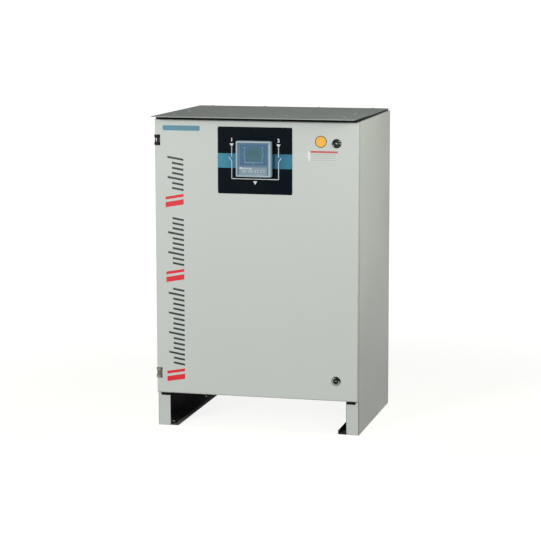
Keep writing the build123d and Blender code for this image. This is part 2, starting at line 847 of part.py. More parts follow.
def terminal(x, axis_y, jaw_side, up):
    """Copper terminal: a tab outside the case and, inside, a foot with a forked jaw beside the pole."""
    chamber_half = chamber_height / 2
    blade_half = blade_length / 2
    foot_low = blade_half + jaw_depth
    half_y = blade_thickness / 2 + blade_gap + jaw_finger
    jaw_x = x + jaw_side * travel
    foot_far = jaw_x + jaw_side * jaw_width / 2
    foot_near = x - jaw_side * tab_width / 2
    foot = span(min(foot_far, foot_near), max(foot_far, foot_near), foot_low, chamber_half)
    jaw = span(jaw_x - jaw_width / 2, jaw_x + jaw_width / 2, blade_half - jaw_reach, foot_low)
    tab = span(x - tab_width / 2, x + tab_width / 2, chamber_half, case_height / 2 + tab_reach)
    hole_z = case_height / 2 + tab_reach - tab_hole_from_end
    tab -= Pos(x, hole_z) * Circle(tab_hole / 2)
    piece = front_pad(foot + jaw, axis_y - half_y, axis_y + half_y)
    slot_half = blade_thickness / 2 + blade_gap
    slot = span(jaw_x - jaw_width, jaw_x + jaw_width, blade_half - jaw_reach - 1, foot_low)
    piece -= front_pad(slot, axis_y - slot_half, axis_y + slot_half)
    piece += front_pad(tab, axis_y - tab_thickness / 2, axis_y + tab_thickness / 2)
    if not up:
        piece = mirror(piece, Plane.XY)
    return Pos(0, 0, switch_z) * piece


def bridging_bar(x):
    """Joins the lower tabs of one pole of both units and carries the load terminal hole."""
    front_y = front_axis_y - tab_thickness / 2
    rear_y = rear_axis_y + tab_thickness / 2
    tab_end = switch_z - case_height / 2 - tab_reach
    top = tab_end + 2 * tab_hole_from_end
    low = tab_end - bridge_drop
    strip = folded(
        [
            (front_y - tab_thickness, top),
            (front_y - tab_thickness, low),
            (rear_y + tab_thickness, low),
            (rear_y + tab_thickness, top),
        ],
        tab_thickness,
        tab_thickness + 1,
    )
    bar = side_pad(strip, x - tab_width / 2, x + tab_width / 2)
    lug = span(x - tab_width / 2, x + tab_width / 2, low - lug_drop, low + tab_thickness)
    lug -= Pos(x, low - lug_drop + tab_hole_from_end) * Circle(tab_hole / 2)
    lug_front = (front_y + rear_y) / 2 - tab_thickness / 2
    bar += front_pad(lug, lug_front, lug_front + tab_thickness)
    joint_hole = Pos(x, tab_end + tab_hole_from_end) * Circle(tab_hole / 2)
    return bar - front_pad(joint_hole, front_y - tab_thickness - 1, rear_y + tab_thickness + 1)


def bridge_bolt(x, y_front):
    """Bolt through a tab and the bridging bar, with its nut."""
    z = switch_z - case_height / 2 - tab_reach + tab_hole_from_end
    y_back = y_front + 2 * tab_thickness
    head = Pos(x, z) * hexagon(bridge_bolt_across)
    bolt = front_pad(head, y_front - bridge_bolt_head, y_front)
    bolt += front_disc(x, z, tab_hole / 2 - seat_gap, y_front, y_back)
    return bolt + front_pad(head, y_back, y_back + bridge_bolt_head)


def switch_front_cover():
    """Clear tray over the chambers of the front unit, which shows the contact position."""
    centre = Pos((switch_left + switch_right) / 2, switch_z)
    outer = centre * RectangleRounded(switch_width, case_height, 4)
    inner = centre * Rectangle(switch_width - 2 * switch_cover_wall, case_height - 2 * switch_cover_wall)
    cover = front_pad(outer, drive_face, front_unit_front)
    return cover - front_pad(inner, drive_face + switch_cover_wall, front_unit_front + 1)


def carriage_ends():
    """X range of a contact carriage at rest: from the first blade to the end of its rack."""
    left = pole_xs[0] - blade_width / 2 - bar_gap
    right = switch_right + drive_width - drive_wall - travel - bar_gap
    return left, right


def contact_carriage(axis_y):
    """Insulating bar with a slot for each blade and a toothed rack under its drive end."""
    left, right = carriage_ends()
    pitch = pi * gear_module
    body = span(left, right, switch_z - bar_height / 2, switch_z + bar_height / 2)
    pitch_z = shaft_z + rack_pinion_r
    tip_z = pitch_z - addendum
    root_z = pitch_z + dedendum
    slope = tan(radians(20))
    half_pitch_line = (pitch / 2 - gear_backlash) / 2
    half_tip = half_pitch_line - addendum * slope
    half_root = half_pitch_line + dedendum * slope
    reach = travel + 2 * pitch
    count = int(reach // pitch)
    for i in range(-count, count + 1):
        x = shaft_x + i * pitch
        if x + half_root < right:
            left_flank = [(x - half_root, root_z), (x - half_tip, tip_z)]
            right_flank = [(x + half_tip, tip_z), (x + half_root, root_z)]
            body += make_face(Polyline(*left_flank, *right_flank, close=True))
    bar = front_pad(body, axis_y - bar_depth / 2, axis_y + bar_depth / 2)
    for x in pole_xs:
        bar -= moving_blade(x, axis_y)
    return bar


def moving_blade(x, axis_y):
    blade = Pos(x, switch_z) * Rectangle(blade_width, blade_length)
    return front_pad(blade, axis_y - blade_thickness / 2, axis_y + blade_thickness / 2)


def dist(a, b):
    return sqrt((a[0] - b[0]) ** 2 + (a[1] - b[1]) ** 2)


def gear_outline(teeth, first_tooth_deg):
    """Involute spur gear in the front view, with its first tooth centred on the given angle."""
    pitch_r = gear_module * teeth / 2
    base_r = pitch_r * cos(radians(20))
    tip_r = pitch_r + addendum
    root_r = pitch_r - dedendum
    half_tooth = (pi * gear_module / 2 - gear_backlash) / (2 * pitch_r)
    involute_at_pitch = tan(radians(20)) - radians(20)
    flank = []
    for radius in (max(base_r, root_r), pitch_r, tip_r):
        roll = acos(min(1.0, base_r / radius))
        flank.append((radius, half_tooth + involute_at_pitch - (tan(roll) - roll)))
    corners = []
    for i in range(teeth):
        centre = radians(first_tooth_deg + 360 * i / teeth)
        rising = [(root_r, -flank[0][1])] + [(radius, -angle) for radius, angle in flank]
        falling = [(radius, angle) for radius, angle in reversed(flank)] + [(root_r, flank[0][1])]
        for radius, angle in rising + falling:
            point = (radius * cos(centre + angle), radius * sin(centre + angle))
            if not corners or dist(point, corners[-1]) > 0.01:
                corners.append(point)
    return make_face(Polyline(*corners, close=True))


def operating_shaft():
    """Shaft with a handle socket, two rack pinions and, as a second solid, the keyed drive gear."""
    at = Pos(shaft_x, shaft_z)
    hub_back = front_unit_front + dial_gap
    rear_end = plate_front - drive_back + 4
    space_up = 90 - 180 / rack_pinion_teeth
    shaft = front_disc(shaft_x, shaft_z, shaft_hub_r, drive_face + 0.5, hub_back)
    shaft += front_disc(shaft_x, shaft_z, shaft_r, hub_back, rear_end)
    shaft -= front_pad(at * Rectangle(socket_size, socket_size), drive_face - 1, drive_face + socket_depth)
    for axis_y in (front_axis_y, rear_axis_y):
        pinion = at * gear_outline(rack_pinion_teeth, space_up)
        shaft += front_pad(pinion, axis_y - rack_pinion_width / 2, axis_y + rack_pinion_width / 2)
    gear = at * (gear_outline(drive_gear_teeth, -90) - Circle(shaft_r))
    return [shaft, front_pad(gear, drive_gear_y - gear_width / 2, drive_gear_y + gear_width / 2)]


def position_dial():
    """Disc behind the drive cover whose marks show through its window."""
    disc = Circle(dial_r) - Circle(shaft_r)
    y_front = front_unit_front + dial_gap
    return front_pad(Pos(shaft_x, shaft_z) * disc, y_front, y_front + dial_thickness)


def drive_housing():
    """Box beside the contact units, open at the front, with the shaft's rear bearing."""
    x_high = switch_right + drive_width
    z_low = switch_z - case_height / 2
    z_high = switch_z + case_height / 2
    box = front_pad(span(switch_right, x_high, z_low, z_high), front_unit_front, plate_front)
    inside = span(switch_right + drive_wall, x_high - drive_wall, z_low + drive_wall, z_high - drive_wall)
    box -= front_pad(inside, front_unit_front - 1, plate_front - drive_back)
    for axis_y in (front_axis_y, rear_axis_y):
        box -= carriage_passage(axis_y, switch_right - 1, switch_right + drive_wall + 1)
    bearing = shaft_r + running_gap
    return box - front_disc(shaft_x, shaft_z, bearing, plate_front - drive_back - 1, plate_front - 1)


def drive_cover():
    """Front of the drive unit: shaft hole, dial window and the two rails of the shutter."""
    z_low = switch_z - case_height / 2
    z_high = switch_z + case_height / 2
    plate = span(switch_right, switch_right + drive_width, z_low, z_high)
    plate -= Pos(shaft_x, shaft_z) * Circle(shaft_hub_r + running_gap)
    plate -= Pos(shaft_x, shaft_z + dial_window_rise) * Rectangle(dial_window_width, dial_window_height)
    cover = front_pad(plate, drive_face, front_unit_front)
    groove = shutter_thickness + 2 * shutter_gap
    rail_low = shaft_z - shutter_height / 2 - shutter_travel - shutter_gap
    rail_high = shaft_z + shutter_height / 2 + shutter_gap
    for side in (-1, 1):
        inner = shaft_x + side * (shutter_width / 2 + shutter_gap)
        outer = inner + side * shutter_rail
        hook = inner - side * shutter_rail_hook
        foot = span(min(inner, outer), max(inner, outer), rail_low, rail_high)
        cap = span(min(hook, outer), max(hook, outer), rail_low, rail_high)
        cover += front_pad(foot, drive_face - groove, drive_face)
        cover += front_pad(cap, drive_face - groove - 1.5, drive_face - groove)
    return cover


def mode_shutter():
    """Slide that closes the handle socket in automatic mode, with a thumb rib."""
    y_back = drive_face - shutter_gap
    y_front = y_back - shutter_thickness
    plate = Pos(shaft_x, shaft_z) * Rectangle(shutter_width, shutter_height)
    rib_width = shutter_width - 2 * shutter_rail_hook - 4
    rib = Pos(shaft_x, shaft_z - shutter_height / 4) * Rectangle(rib_width, 3)
    return front_pad(plate, y_front, y_back) + front_pad(rib, y_front - 3, y_front)


def drive_motor():
    """Geared motor on the housing's rear wall, with the bore of its output shaft."""
    y_front = drive_gear_y + gear_width / 2 + 3
    body = front_disc(shaft_x, motor_z, motor_r, y_front + 6, plate_front - drive_back)
    body += front_disc(shaft_x, motor_z, motor_pinion_r, y_front, y_front + 6)
    bore = motor_shaft_r + running_gap
    return body - front_disc(shaft_x, motor_z, bore, y_front - 1, y_front + motor_shaft + 1)


def motor_pinion():
    half_tooth = 180 / motor_pinion_teeth
    gear = Pos(shaft_x, motor_z) * gear_outline(motor_pinion_teeth, 90 + half_tooth)
    y_back = drive_gear_y + gear_width / 2
    pinion = front_pad(gear, drive_gear_y - gear_width / 2, y_back)
    return pinion + front_disc(shaft_x, motor_z, motor_shaft_r, y_back, y_back + 3 + motor_shaft)


def manual_handle():
    """Crank for the handle socket: moulded grip and a steel shank bent at a right angle."""
    axis_y = plate_front - clip_standoff - handle_grip_r - seat_gap - clip_wall
    half = handle_grip / 2
    grip = plan_pad(Pos(handle_x, axis_y) * Circle(handle_grip_r), handle_z - half, handle_z + half)
    grip = fillet(grip.edges().group_by(Axis.Z)[0], 3)
    neck_top = handle_z + half + 3 * handle_shank_r
    grip += plan_pad(Pos(handle_x, axis_y) * Circle(handle_shank_r), handle_z + half, neck_top)
    knee = Pos(handle_x, axis_y, neck_top) * Sphere(handle_shank_r)
    shank_size = socket_size - 2 * seat_gap
    shank = Pos(handle_x, neck_top) * Rectangle(shank_size, shank_size)
    return grip + knee + front_pad(shank, axis_y - handle_shank, axis_y)


# ---- Devices on the rail
def din_rail():
    """Top-hat rail screwed to the mounting plate."""
    y_crown = plate_front - rail_height
    half = rail_width / 2
    crown = rail_crown / 2
    outer = [(plate_front - rail_sheet, half), (plate_front - rail_sheet, crown), (y_crown, crown)]
    lower = [(y, -z) for y, z in reversed(outer)]
    section = make_face(
        Polyline(
            (plate_front, crown - rail_sheet),
            (y_crown + rail_sheet, crown - rail_sheet),
            (y_crown + rail_sheet, -crown + rail_sheet),
            (plate_front, -crown + rail_sheet),
            (plate_front, -half),
            *reversed(lower),
            *reversed(outer),
            (plate_front, half),
            close=True,
        )
    )
    return side_pad(Pos(0, rail_z) * section, -rail_length / 2, rail_length / 2)


def fuse_xs():
    return [fuse_x, fuse_x + fuse_pitch]


def lever_pivot_point():
    front = plate_front - rail_height - fuse_depth - fuse_nose
    return front + lever_pivot, rail_z - lever_height / 2 + lever_pivot


def fuse_base(x):
    """Fuse holder clipped on the rail, with a cavity for its lever."""
    y_rear = plate_front - rail_height
    y_front = y_rear - fuse_depth
    nose_front = y_front - fuse_nose
    outline = span(y_front, y_rear, rail_z - fuse_height / 2, rail_z + fuse_height / 2)
    outline += span(nose_front, y_front, rail_z - fuse_nose_height / 2, rail_z + fuse_nose_height / 2)
    base = side_pad(outline, x - fuse_width / 2, x + fuse_width / 2)
    pivot_y, pivot_z = lever_pivot_point()
    half = lever_height / 2 + lever_gap
    back = nose_front + lever_depth + 2 * lever_gap
    cavity = span(nose_front - 1, back, rail_z - half, rail_z + half)
    cavity_half = lever_width / 2 + lever_gap
    base -= side_pad(cavity, x - cavity_half, x + cavity_half)
    pin_half = lever_width / 2 + lever_gap + 1
    bore = Pos(pivot_y, pivot_z) * Circle(lever_pin_r + running_gap)
    return base - side_pad(bore, x - pin_half, x + pin_half)


def fuse_lever(x):
    """Pull-out lever on two stub pins; its back stays within the arc that clears the cavity."""
    pivot_y, pivot_z = lever_pivot_point()
    front = pivot_y - lever_pivot
    low = rail_z - lever_height / 2
    block = span(front, front + lever_depth, low, low + lever_height)
    swing = Pos(pivot_y, pivot_z) * Circle(lever_height - lever_pivot)
    heel = Pos(pivot_y, pivot_z) * Circle(lever_pivot)
    block = (block & swing) - span(front - 1, pivot_y, low - 1, pivot_z) + heel
    lever = side_pad(block, x - lever_width / 2, x + lever_width / 2)
    pull = span(front - 4, front, low + lever_height * 0.62, low + lever_height * 0.72)
    lever += side_pad(pull, x - lever_width / 2, x + lever_width / 2)
    pin_half = lever_width / 2 + lever_gap + 1 - seat_gap
    return lever + side_pad(Pos(pivot_y, pivot_z) * Circle(lever_pin_r), x - pin_half, x + pin_half)


def terminal_block(x):
    """Stepped moulding with a screw hole and a wire funnel on each side."""
    rear = plate_front - rail_height
    half = terminal_height / 2
    step = terminal_depth * 0.3
    shoulder = terminal_height * 0.28
    front = rear - terminal_depth
    outline = make_face(
        Polyline(
            (rear, -half),
            (front + step, -half),
            (front, -shoulder),
            (front, shoulder),
            (front + step, half),
            (rear, half),
            close=True,
        )
    )
    block = side_pad(Pos(0, rail_z) * outline, x, x + terminal_thickness)
    for side in (-1, 1):
        centre = Pos(x + terminal_thickness / 2, rail_z + side * (half - terminal_funnel))
        funnel = centre * Rectangle(terminal_thickness / 2, terminal_funnel)
        block -= front_pad(funnel, front - 1, front + step + terminal_funnel)
    return block


# ---- Wiring ducts and earth bar
def wiring_duct(z):
    """Slotted channel with its lid clipped on: two solids."""
    half = duct_height / 2
    front = plate_front - duct_depth
    lid_wall = duct_wall * 0.75
    outline = span(front + lid_wall, plate_front, z - half, z + half)
    outline -= span(front, plate_front - duct_wall, z - half + duct_wall, z + half - duct_wall)
    channel = side_pad(outline, -duct_length / 2, duct_length / 2)
    slots = int(duct_length // duct_slot_pitch) - 1
    slot_back = plate_front - duct_depth * 0.25
    slot_cuts = Sketch()
    for i in range(slots):
        x = (i - (slots - 1) / 2) * duct_slot_pitch
        slot_cuts += span(x - duct_slot / 2, x + duct_slot / 2, front, slot_back)
    channel -= plan_pad(slot_cuts, z - half - 1, z + half + 1)
    lid = side_pad(span(front, front + lid_wall, z - half, z + half), -duct_length / 2, duct_length / 2)
    return [channel, lid]


def earth_bar():
    """Copper bar with cranked feet bolted straight to the mounting plate."""
    half = earth_bar_length / 2
    foot = earth_bar_height
    y_bar = plate_front - earth_bar_standoff
    section = folded(
        [
            (-half, plate_front - earth_bar_thickness),
            (-half + foot, plate_front - earth_bar_thickness),
            (-half + foot, y_bar - earth_bar_thickness),
            (half - foot, y_bar - earth_bar_thickness),
            (half - foot, plate_front - earth_bar_thickness),
            (half, plate_front - earth_bar_thickness),
        ],
        earth_bar_thickness,
        earth_bar_thickness + 1,
    )
    low = earth_bar_z - earth_bar_height / 2
    bar = plan_pad(section, low, low + earth_bar_height)
    for i in range(earth_bar_holes):
        x = (i - (earth_bar_holes - 1) / 2) * earth_bar_pitch
        bar -= front_disc(x, earth_bar_z, earth_bar_hole / 2, y_bar - earth_bar_thickness - 1, y_bar + 1)
    return bar


# ---- Write every sub-part
left_side = side_panel()
left_foot = foot_rail()
write("left_side", left_side)
write("right_side", mirror(left_side, Plane.YZ))
write("foot_rails", [left_foot, mirror(left_foot, Plane.YZ)])
write("back_panel", back_panel())
write("top_panel", top_panel())
write("floor_pan", floor_pan())
write("gland_plate", gland_plate())
write("cable_glands", [solid for x, y in gland_spots() for solid in cable_gland(x, y)])
write("roof_plate", roof_plate())
write("roof_spacers", [roof_spacer(x, y) for x, y in roof_spots()])
write("roof_screws", [roof_screw(x, y) for x, y in roof_spots()])

write("door_panel", door_panel())
write("door_gasket", door_gasket())
write(
    "door_stiffeners",
    [door_stiffener(-half_width + stiffener_left), door_stiffener(half_width - stiffener_right)],
)
write("hinge_leaves", [hinge_leaf_on_door(z) for z in hardware_heights.values()])
write("hinge_pins", [hinge_pin(z) for z in hardware_heights.values()])
write("lock_nuts", [lock_nut_ring(z) for z in hardware_heights.values()])
for place, height in hardware_heights.items():
    write(f"{place}_hinge_bracket", hinge_bracket(height))
    write(f"{place}_lock_housing", lock_housing(height))
    write(f"{place}_lock_barrel", lock_barrel(height))
    write(f"{place}_lock_cam", lock_cam(height, 1 if height < door_middle else -1))

write("fascia_plate", fascia_plate())
write("window_frame", window_frame())
write("window_cover", window_cover())
write("controller_body", controller_body())
write("controller_screen", controller_screen())
for number, x in enumerate(key_xs(), start=1):
    write(f"controller_key_{number}", controller_key(x))

write("mounting_plate", mounting_plate())
write("plate_studs", [solid for x, z in plate_spots() for solid in plate_stud(x, z)])
write("switch_cases", [switch_case(front_unit_front), switch_case(rear_unit_front)])
write("switch_cover", switch_front_cover())
write(
    "switch_terminals",
    [
        terminal(x, axis_y, jaw_side, up)
        for axis_y, jaw_side in ((front_axis_y, -1), (rear_axis_y, 1))
        for x in pole_xs
        for up in (True, False)
    ],
)
write("bridging_bars", [bridging_bar(x) for x in pole_xs])
write(
    "bridge_bolts",
    [
        bridge_bolt(x, y_front)
        for x in pole_xs
        for y_front in (front_axis_y - 1.5 * tab_thickness, rear_axis_y - tab_thickness / 2)
    ],
)
for unit, axis_y in (("front", front_axis_y), ("rear", rear_axis_y)):
    write(f"{unit}_carriage", contact_carriage(axis_y))
    write(f"{unit}_moving_contacts", [moving_blade(x, axis_y) for x in pole_xs])
write("drive_housing", drive_housing())
write("drive_cover", drive_cover())
write("operating_shaft", operating_shaft())
write("position_dial", position_dial())
write("drive_motor", drive_motor())
write("motor_pinion", motor_pinion())
write("mode_shutter", mode_shutter())
write("manual_handle", manual_handle())

write("din_rail", din_rail())
write("fuse_bases", [fuse_base(x) for x in fuse_xs()])
for number, x in enumerate(fuse_xs(), start=1):
    write(f"fuse_lever_{number}", fuse_lever(x))
write("terminal_blocks", [terminal_block(terminal_x + terminal_pitch * i) for i in range(terminal_count)])
write("wiring_ducts", wiring_duct(rail_z + duct_above_rail) + wiring_duct(rail_z - duct_below_rail))
write("earth_bar", earth_bar())
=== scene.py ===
"""Automatic transfer switch: paint, print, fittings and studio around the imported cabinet."""

import json
import random
from math import cos, pi, radians, sin, tau

import bmesh
import bpy
from bpy.props import FloatProperty, FloatVectorProperty, IntProperty, PointerProperty
from mathutils import Matrix, Vector


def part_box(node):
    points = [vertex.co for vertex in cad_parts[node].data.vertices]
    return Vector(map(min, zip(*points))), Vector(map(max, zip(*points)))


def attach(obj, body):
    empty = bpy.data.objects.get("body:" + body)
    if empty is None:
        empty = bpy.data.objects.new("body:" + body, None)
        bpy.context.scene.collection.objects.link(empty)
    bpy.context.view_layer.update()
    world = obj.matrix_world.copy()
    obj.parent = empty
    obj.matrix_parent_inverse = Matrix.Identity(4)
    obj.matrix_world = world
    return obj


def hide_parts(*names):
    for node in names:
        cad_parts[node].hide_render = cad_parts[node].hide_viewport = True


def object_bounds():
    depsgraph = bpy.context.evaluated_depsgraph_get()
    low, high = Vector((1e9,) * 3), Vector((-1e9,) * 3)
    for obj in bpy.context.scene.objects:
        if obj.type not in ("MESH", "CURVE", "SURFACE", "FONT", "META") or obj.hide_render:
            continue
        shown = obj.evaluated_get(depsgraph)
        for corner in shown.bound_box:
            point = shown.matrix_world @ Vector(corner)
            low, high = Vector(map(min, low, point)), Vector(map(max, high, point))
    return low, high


bl_info = {
    "name": "Transfer switch cabinet finish",
    "version": (1, 0, 0),
    "blender": (4, 5, 0),
    "location": "3D View > Sidebar > Cabinet",
    "description": "Finishes, prints and fits out a floor-standing transfer switch cabinet",
    "category": "Object",
}

MM = 0.001
PRINT_RISE = 0.12 * MM  # printed ink and labels stand this far off their plate
PRINT_SINK = 0.03 * MM  # and start this far inside it
INSIDE_SHADE_TOP = 0.1  # the insides of the legs are painted in shade up to here, the floor pan
COLOUR = {"size": 4, "subtype": "COLOR", "min": 0, "max": 1}

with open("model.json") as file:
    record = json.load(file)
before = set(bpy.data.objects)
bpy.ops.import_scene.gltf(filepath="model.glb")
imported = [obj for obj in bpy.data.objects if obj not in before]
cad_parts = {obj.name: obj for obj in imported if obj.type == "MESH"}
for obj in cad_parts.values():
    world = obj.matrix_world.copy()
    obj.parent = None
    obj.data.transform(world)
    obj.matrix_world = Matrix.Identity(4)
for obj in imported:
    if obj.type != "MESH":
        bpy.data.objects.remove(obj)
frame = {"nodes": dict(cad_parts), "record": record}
cad_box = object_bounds()
slot_of = {row["node"]: row["material_slot"] for row in frame["record"]["subparts"]}
door_low, door_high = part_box("door_panel")
fascia_low, fascia_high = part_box("fascia_plate")
window_low, window_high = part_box("window_frame")
screen_low, screen_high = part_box("controller_screen")
finishes = {}


# ---- Colour and shader maths
def paint(red, green, blue):
    """A display colour, 0 to 255 each, as linear RGBA."""
    channels = [c / 255 for c in (red, green, blue)]
    linear = [c / 12.92 if c <= 0.04045 else ((c + 0.055) / 1.055) ** 2.4 for c in channels]
    return (*linear, 1.0)


def shade(colour, factor):
    """The same colour, lighter or darker."""
    return (*[min(1.0, c * factor) for c in colour[:3]], 1.0)


class Wire:
    """A shader socket that Python arithmetic joins to others through Math nodes."""

    def __init__(self, finish, socket):
        self.finish = finish
        self.socket = socket

    def _math(self, operation, first, second):
        return self.finish.node("ShaderNodeMath", {"operation": operation}, {0: first, 1: second})

    def __add__(self, other):
        return self._math("ADD", self, other)

    def __sub__(self, other):
        return self._math("SUBTRACT", self, other)

    def __rsub__(self, other):
        return self._math("SUBTRACT", other, self)

    def __mul__(self, other):
        return self._math("MULTIPLY", self, other)

    def __gt__(self, other):
        return self._math("GREATER_THAN", self, other)

    def __lt__(self, other):
        return self._math("LESS_THAN", self, other)

    def __abs__(self):
        return self.finish.node("ShaderNodeMath", {"operation": "ABSOLUTE"}, {0: self})

    __radd__ = __add__
    __rmul__ = __mul__


class NodeTree:
    """The nodes of a material or of the world."""

    def __init__(self, tree):
        self.tree = tree

    def join(self, value, socket):
        """Links a wire to a socket, or gives the socket a plain value."""
        if isinstance(value, Wire):
            self.tree.links.new(value.socket, socket)
        else:
            socket.default_value = value

    def node(self, kind, settings=None, inputs=None, output=0):
        """Adds a node: its settings first, then the values or links of its sockets."""
        made = self.tree.nodes.new(kind)
        for key, value in (settings or {}).items():
            if key == "stops":
                elements = made.color_ramp.elements
                while len(elements) < len(value):
                    elements.new(0.5)
                for element, (position, colour) in zip(elements, value):
                    element.position = position
                    element.color = colour
            else:
                setattr(made, key, value)
        for key, value in (inputs or {}).items():
            self.join(value, made.inputs[key])
        return Wire(self, made.outputs[output])

    def seen_directly(self):
        """1 for rays that show the background: to the camera, or by way of gloss or glass."""
        rays = self.node("ShaderNodeLightPath", output="Is Camera Ray")
        rays = rays + self.node("ShaderNodeLightPath", output="Is Glossy Ray")
        rays = rays + self.node("ShaderNodeLightPath", output="Is Transmission Ray")
        return rays > 0.5


class Finish(NodeTree):
    """One material: its output shader and the nodes that feed it."""

    def __init__(self, name, colour=None, roughness=0.5, metallic=0.0, specular=0.5):
        self.material = bpy.data.materials.new(name)
        self.material.use_nodes = True
        super().__init__(self.material.node_tree)
        self.shader = self.tree.nodes["Principled BSDF"]
        if colour:
            self.material.diffuse_color = colour
            self.set("Base Color", colour)
        self.set("Roughness", roughness)
        self.set("Metallic", metallic)
        self.set("Specular IOR Level", specular)
        finishes[name] = self.material

    def set(self, socket, value):
        """Gives a socket of the Principled shader a value or a link."""
        self.join(value, self.shader.inputs[socket])

    def fed_by(self, socket):
        """What a socket of the Principled shader is linked to, to be worked on further."""
        return Wire(self, self.shader.inputs[socket].links[0].from_socket)

    def place(self):
        """Position on the part, in metres."""
        return self.node("ShaderNodeTexCoord", output="Object")

    def axis(self, name):
        """One coordinate of the position: X, Y or Z."""
        return self.node("ShaderNodeSeparateXYZ", inputs={0: self.place()}, output=name)

    def stretched(self, x, y, z):
        """The position with each axis scaled: a small factor draws a texture out along it."""
        scale = {"operation": "MULTIPLY"}
        return self.node("ShaderNodeVectorMath", scale, {0: self.place(), 1: (x, y, z)})

    def noise(self, scale, detail=2.0, vector=None):
        inputs = {"Vector": vector or self.place(), "Scale": scale, "Detail": detail}
        return self.node("ShaderNodeTexNoise", inputs=inputs)

    def ramp(self, value, low, high, to_low=0.0, to_high=1.0):
        """Smooth rise from to_low to to_high while the value goes from low to high."""
        inputs = {0: value, 1: low, 2: high, 3: to_low, 4: to_high}
        return self.node("ShaderNodeMapRange", {"interpolation_type": "SMOOTHSTEP"}, inputs)

    def blend(self, factor, first, second):
        """A colour between two colours."""
        mixed = {"data_type": "RGBA"}
        return self.node("ShaderNodeMix", mixed, {0: factor, 6: first, 7: second}, output=2)

    def bump(self, height, strength, depth):
        inputs = {"Height": height, "Strength": strength, "Distance": depth}
        self.set("Normal", self.node("ShaderNodeBump", inputs=inputs))


# ---- Finishes of this cabinet
def powder_coat(name, colour, roughness=0.42, specular=0.42):
    """Stoved polyester powder on steel: fine orange peel, a little uneven in tone and gloss."""
    finish = Finish(name, colour, roughness, specular=specular)
    cloud = finish.noise(3.0, 3.0)
    speck = finish.noise(420.0, 1.0)
    tone = cloud * 0.7 + speck * 0.3
    finish.set("Base Color", finish.blend(tone, shade(colour, 0.965), shade(colour, 1.03)))
    finish.set("Roughness", finish.ramp(cloud, 0.3, 0.7, roughness - 0.04, roughness + 0.05))
    finish.bump(finish.noise(900.0, 2.0), 0.35, 0.10 * MM)
    return finish


def door_coat(name, colour):
    """The door's coat, with a painted highlight along its two upright edges."""
    finish = powder_coat(name, colour)
    middle = (door_low.x + door_high.x) / 2
    half = (door_high.x - door_low.x) / 2
    from_middle = abs(finish.axis("X") - middle)
    # painted highlight where the rounded upright edges catch the light
    fold_highlight = finish.ramp(from_middle, half - 3.5 * MM, half - 0.5 * MM)
    finish.set("Base Color", finish.blend(fold_highlight, finish.fed_by("Base Color"), shade(colour, 1.22)))
    return finish


def roof_coat(name, colour):
    """The roof plate's matt coat, with a painted highlight along the front edge."""
    finish = powder_coat(name, colour, 0.7, specular=0.05)
    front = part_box("roof_plate")[0].y
    # thin marks the front strip of the top, painted paler as the highlight of the front edge
    thin = finish.ramp(finish.axis("Y"), front + 8 * MM, front + 14 * MM, 1.0, 0.0)
    finish.set("Base Color", finish.blend(thin, finish.fed_by("Base Color"), shade(colour, 1.35)))
    return finish


def body_coat(name, colour, inside_shade_colour):
    """The cabinet's coat: scuffed at the floor, and painted near-black shade on the inside of the legs.
    """
    finish = powder_coat(name, colour, specular=0.22)
    height = finish.axis("Z")
    scratches = finish.noise(60.0, 4.0, finish.stretched(1.0, 1.0, 5.0))
    scuff_top = 0.03
    worn = finish.ramp(height, 0.0, scuff_top, 1.0, 0.0) * finish.ramp(scratches, 0.55, 0.7)
    coat = finish.blend(worn * 0.5, finish.fed_by("Base Color"), shade(colour, 0.55))
    side_low, side_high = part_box("left_side")
    skin = 0.4 * MM
    behind = abs(finish.axis("Y")) < side_high.y - skin
    between = abs(finish.axis("X")) < -side_low.x - skin
    under = finish.ramp(height, INSIDE_SHADE_TOP - 4 * MM, INSIDE_SHADE_TOP, 1.0, 0.0)
    lift_noise = finish.noise(35.0, 3.0)
    low_front = finish.ramp(finish.axis("Y"), side_low.y, side_low.y + 0.15, 1.0, 0.0)
    low_front = low_front * finish.ramp(height, 0.0, 0.035, 1.0, 0.0)
    # the painted shade is lifted a little at random, and more at the front of the foot, where light
    # reaches in
    shade_lifted = lift_noise * 0.04 + finish.ramp(lift_noise, 0.35, 0.65) * low_front * 0.3
    # inside: the insides of the legs, painted near black as the shade that lies there
    inside = behind * between * (1 - shade_lifted) * under
    finish.set("Base Color", finish.blend(inside, coat, inside_shade_colour))
    finish.set("Roughness", finish.fed_by("Roughness") * (1 - inside) + inside * 0.95)
    return finish


def galvanised(name, colour):
    """Hot-dip zinc with its spangle of crystals."""
    finish = Finish(name, colour, 0.4, metallic=0.85)
    cells = {"feature": "F1", "distance": "EUCLIDEAN"}
    warped = {"Vector": finish.place(), "Scale": 150.0, "Randomness": 1.0}
    crystal = finish.node("ShaderNodeTexVoronoi", cells, warped, output="Color")
    value = finish.node("ShaderNodeSeparateColor", inputs={0: crystal}, output=0)
    finish.set("Base Color", finish.blend(value, shade(colour, 0.92), shade(colour, 1.07)))
    finish.set("Roughness", finish.ramp(value, 0.0, 1.0, 0.36, 0.48))
    finish.bump(value, 0.05, 0.1 * MM)
    return finish


def plated(name, colour, roughness=0.3, metallic=0.95):
    """Zinc-plated or nickelled steel with a soft handled haze."""
    finish = Finish(name, colour, roughness, metallic)
    haze = finish.noise(70.0, 3.0)
    finish.set("Base Color", finish.blend(haze, shade(colour, 0.88), shade(colour, 1.08)))
    finish.set("Roughness", finish.ramp(haze, 0.3, 0.7, roughness - 0.06, roughness + 0.12))
    finish.bump(finish.noise(800.0, 2.0), 0.06, 0.05 * MM)
    return finish


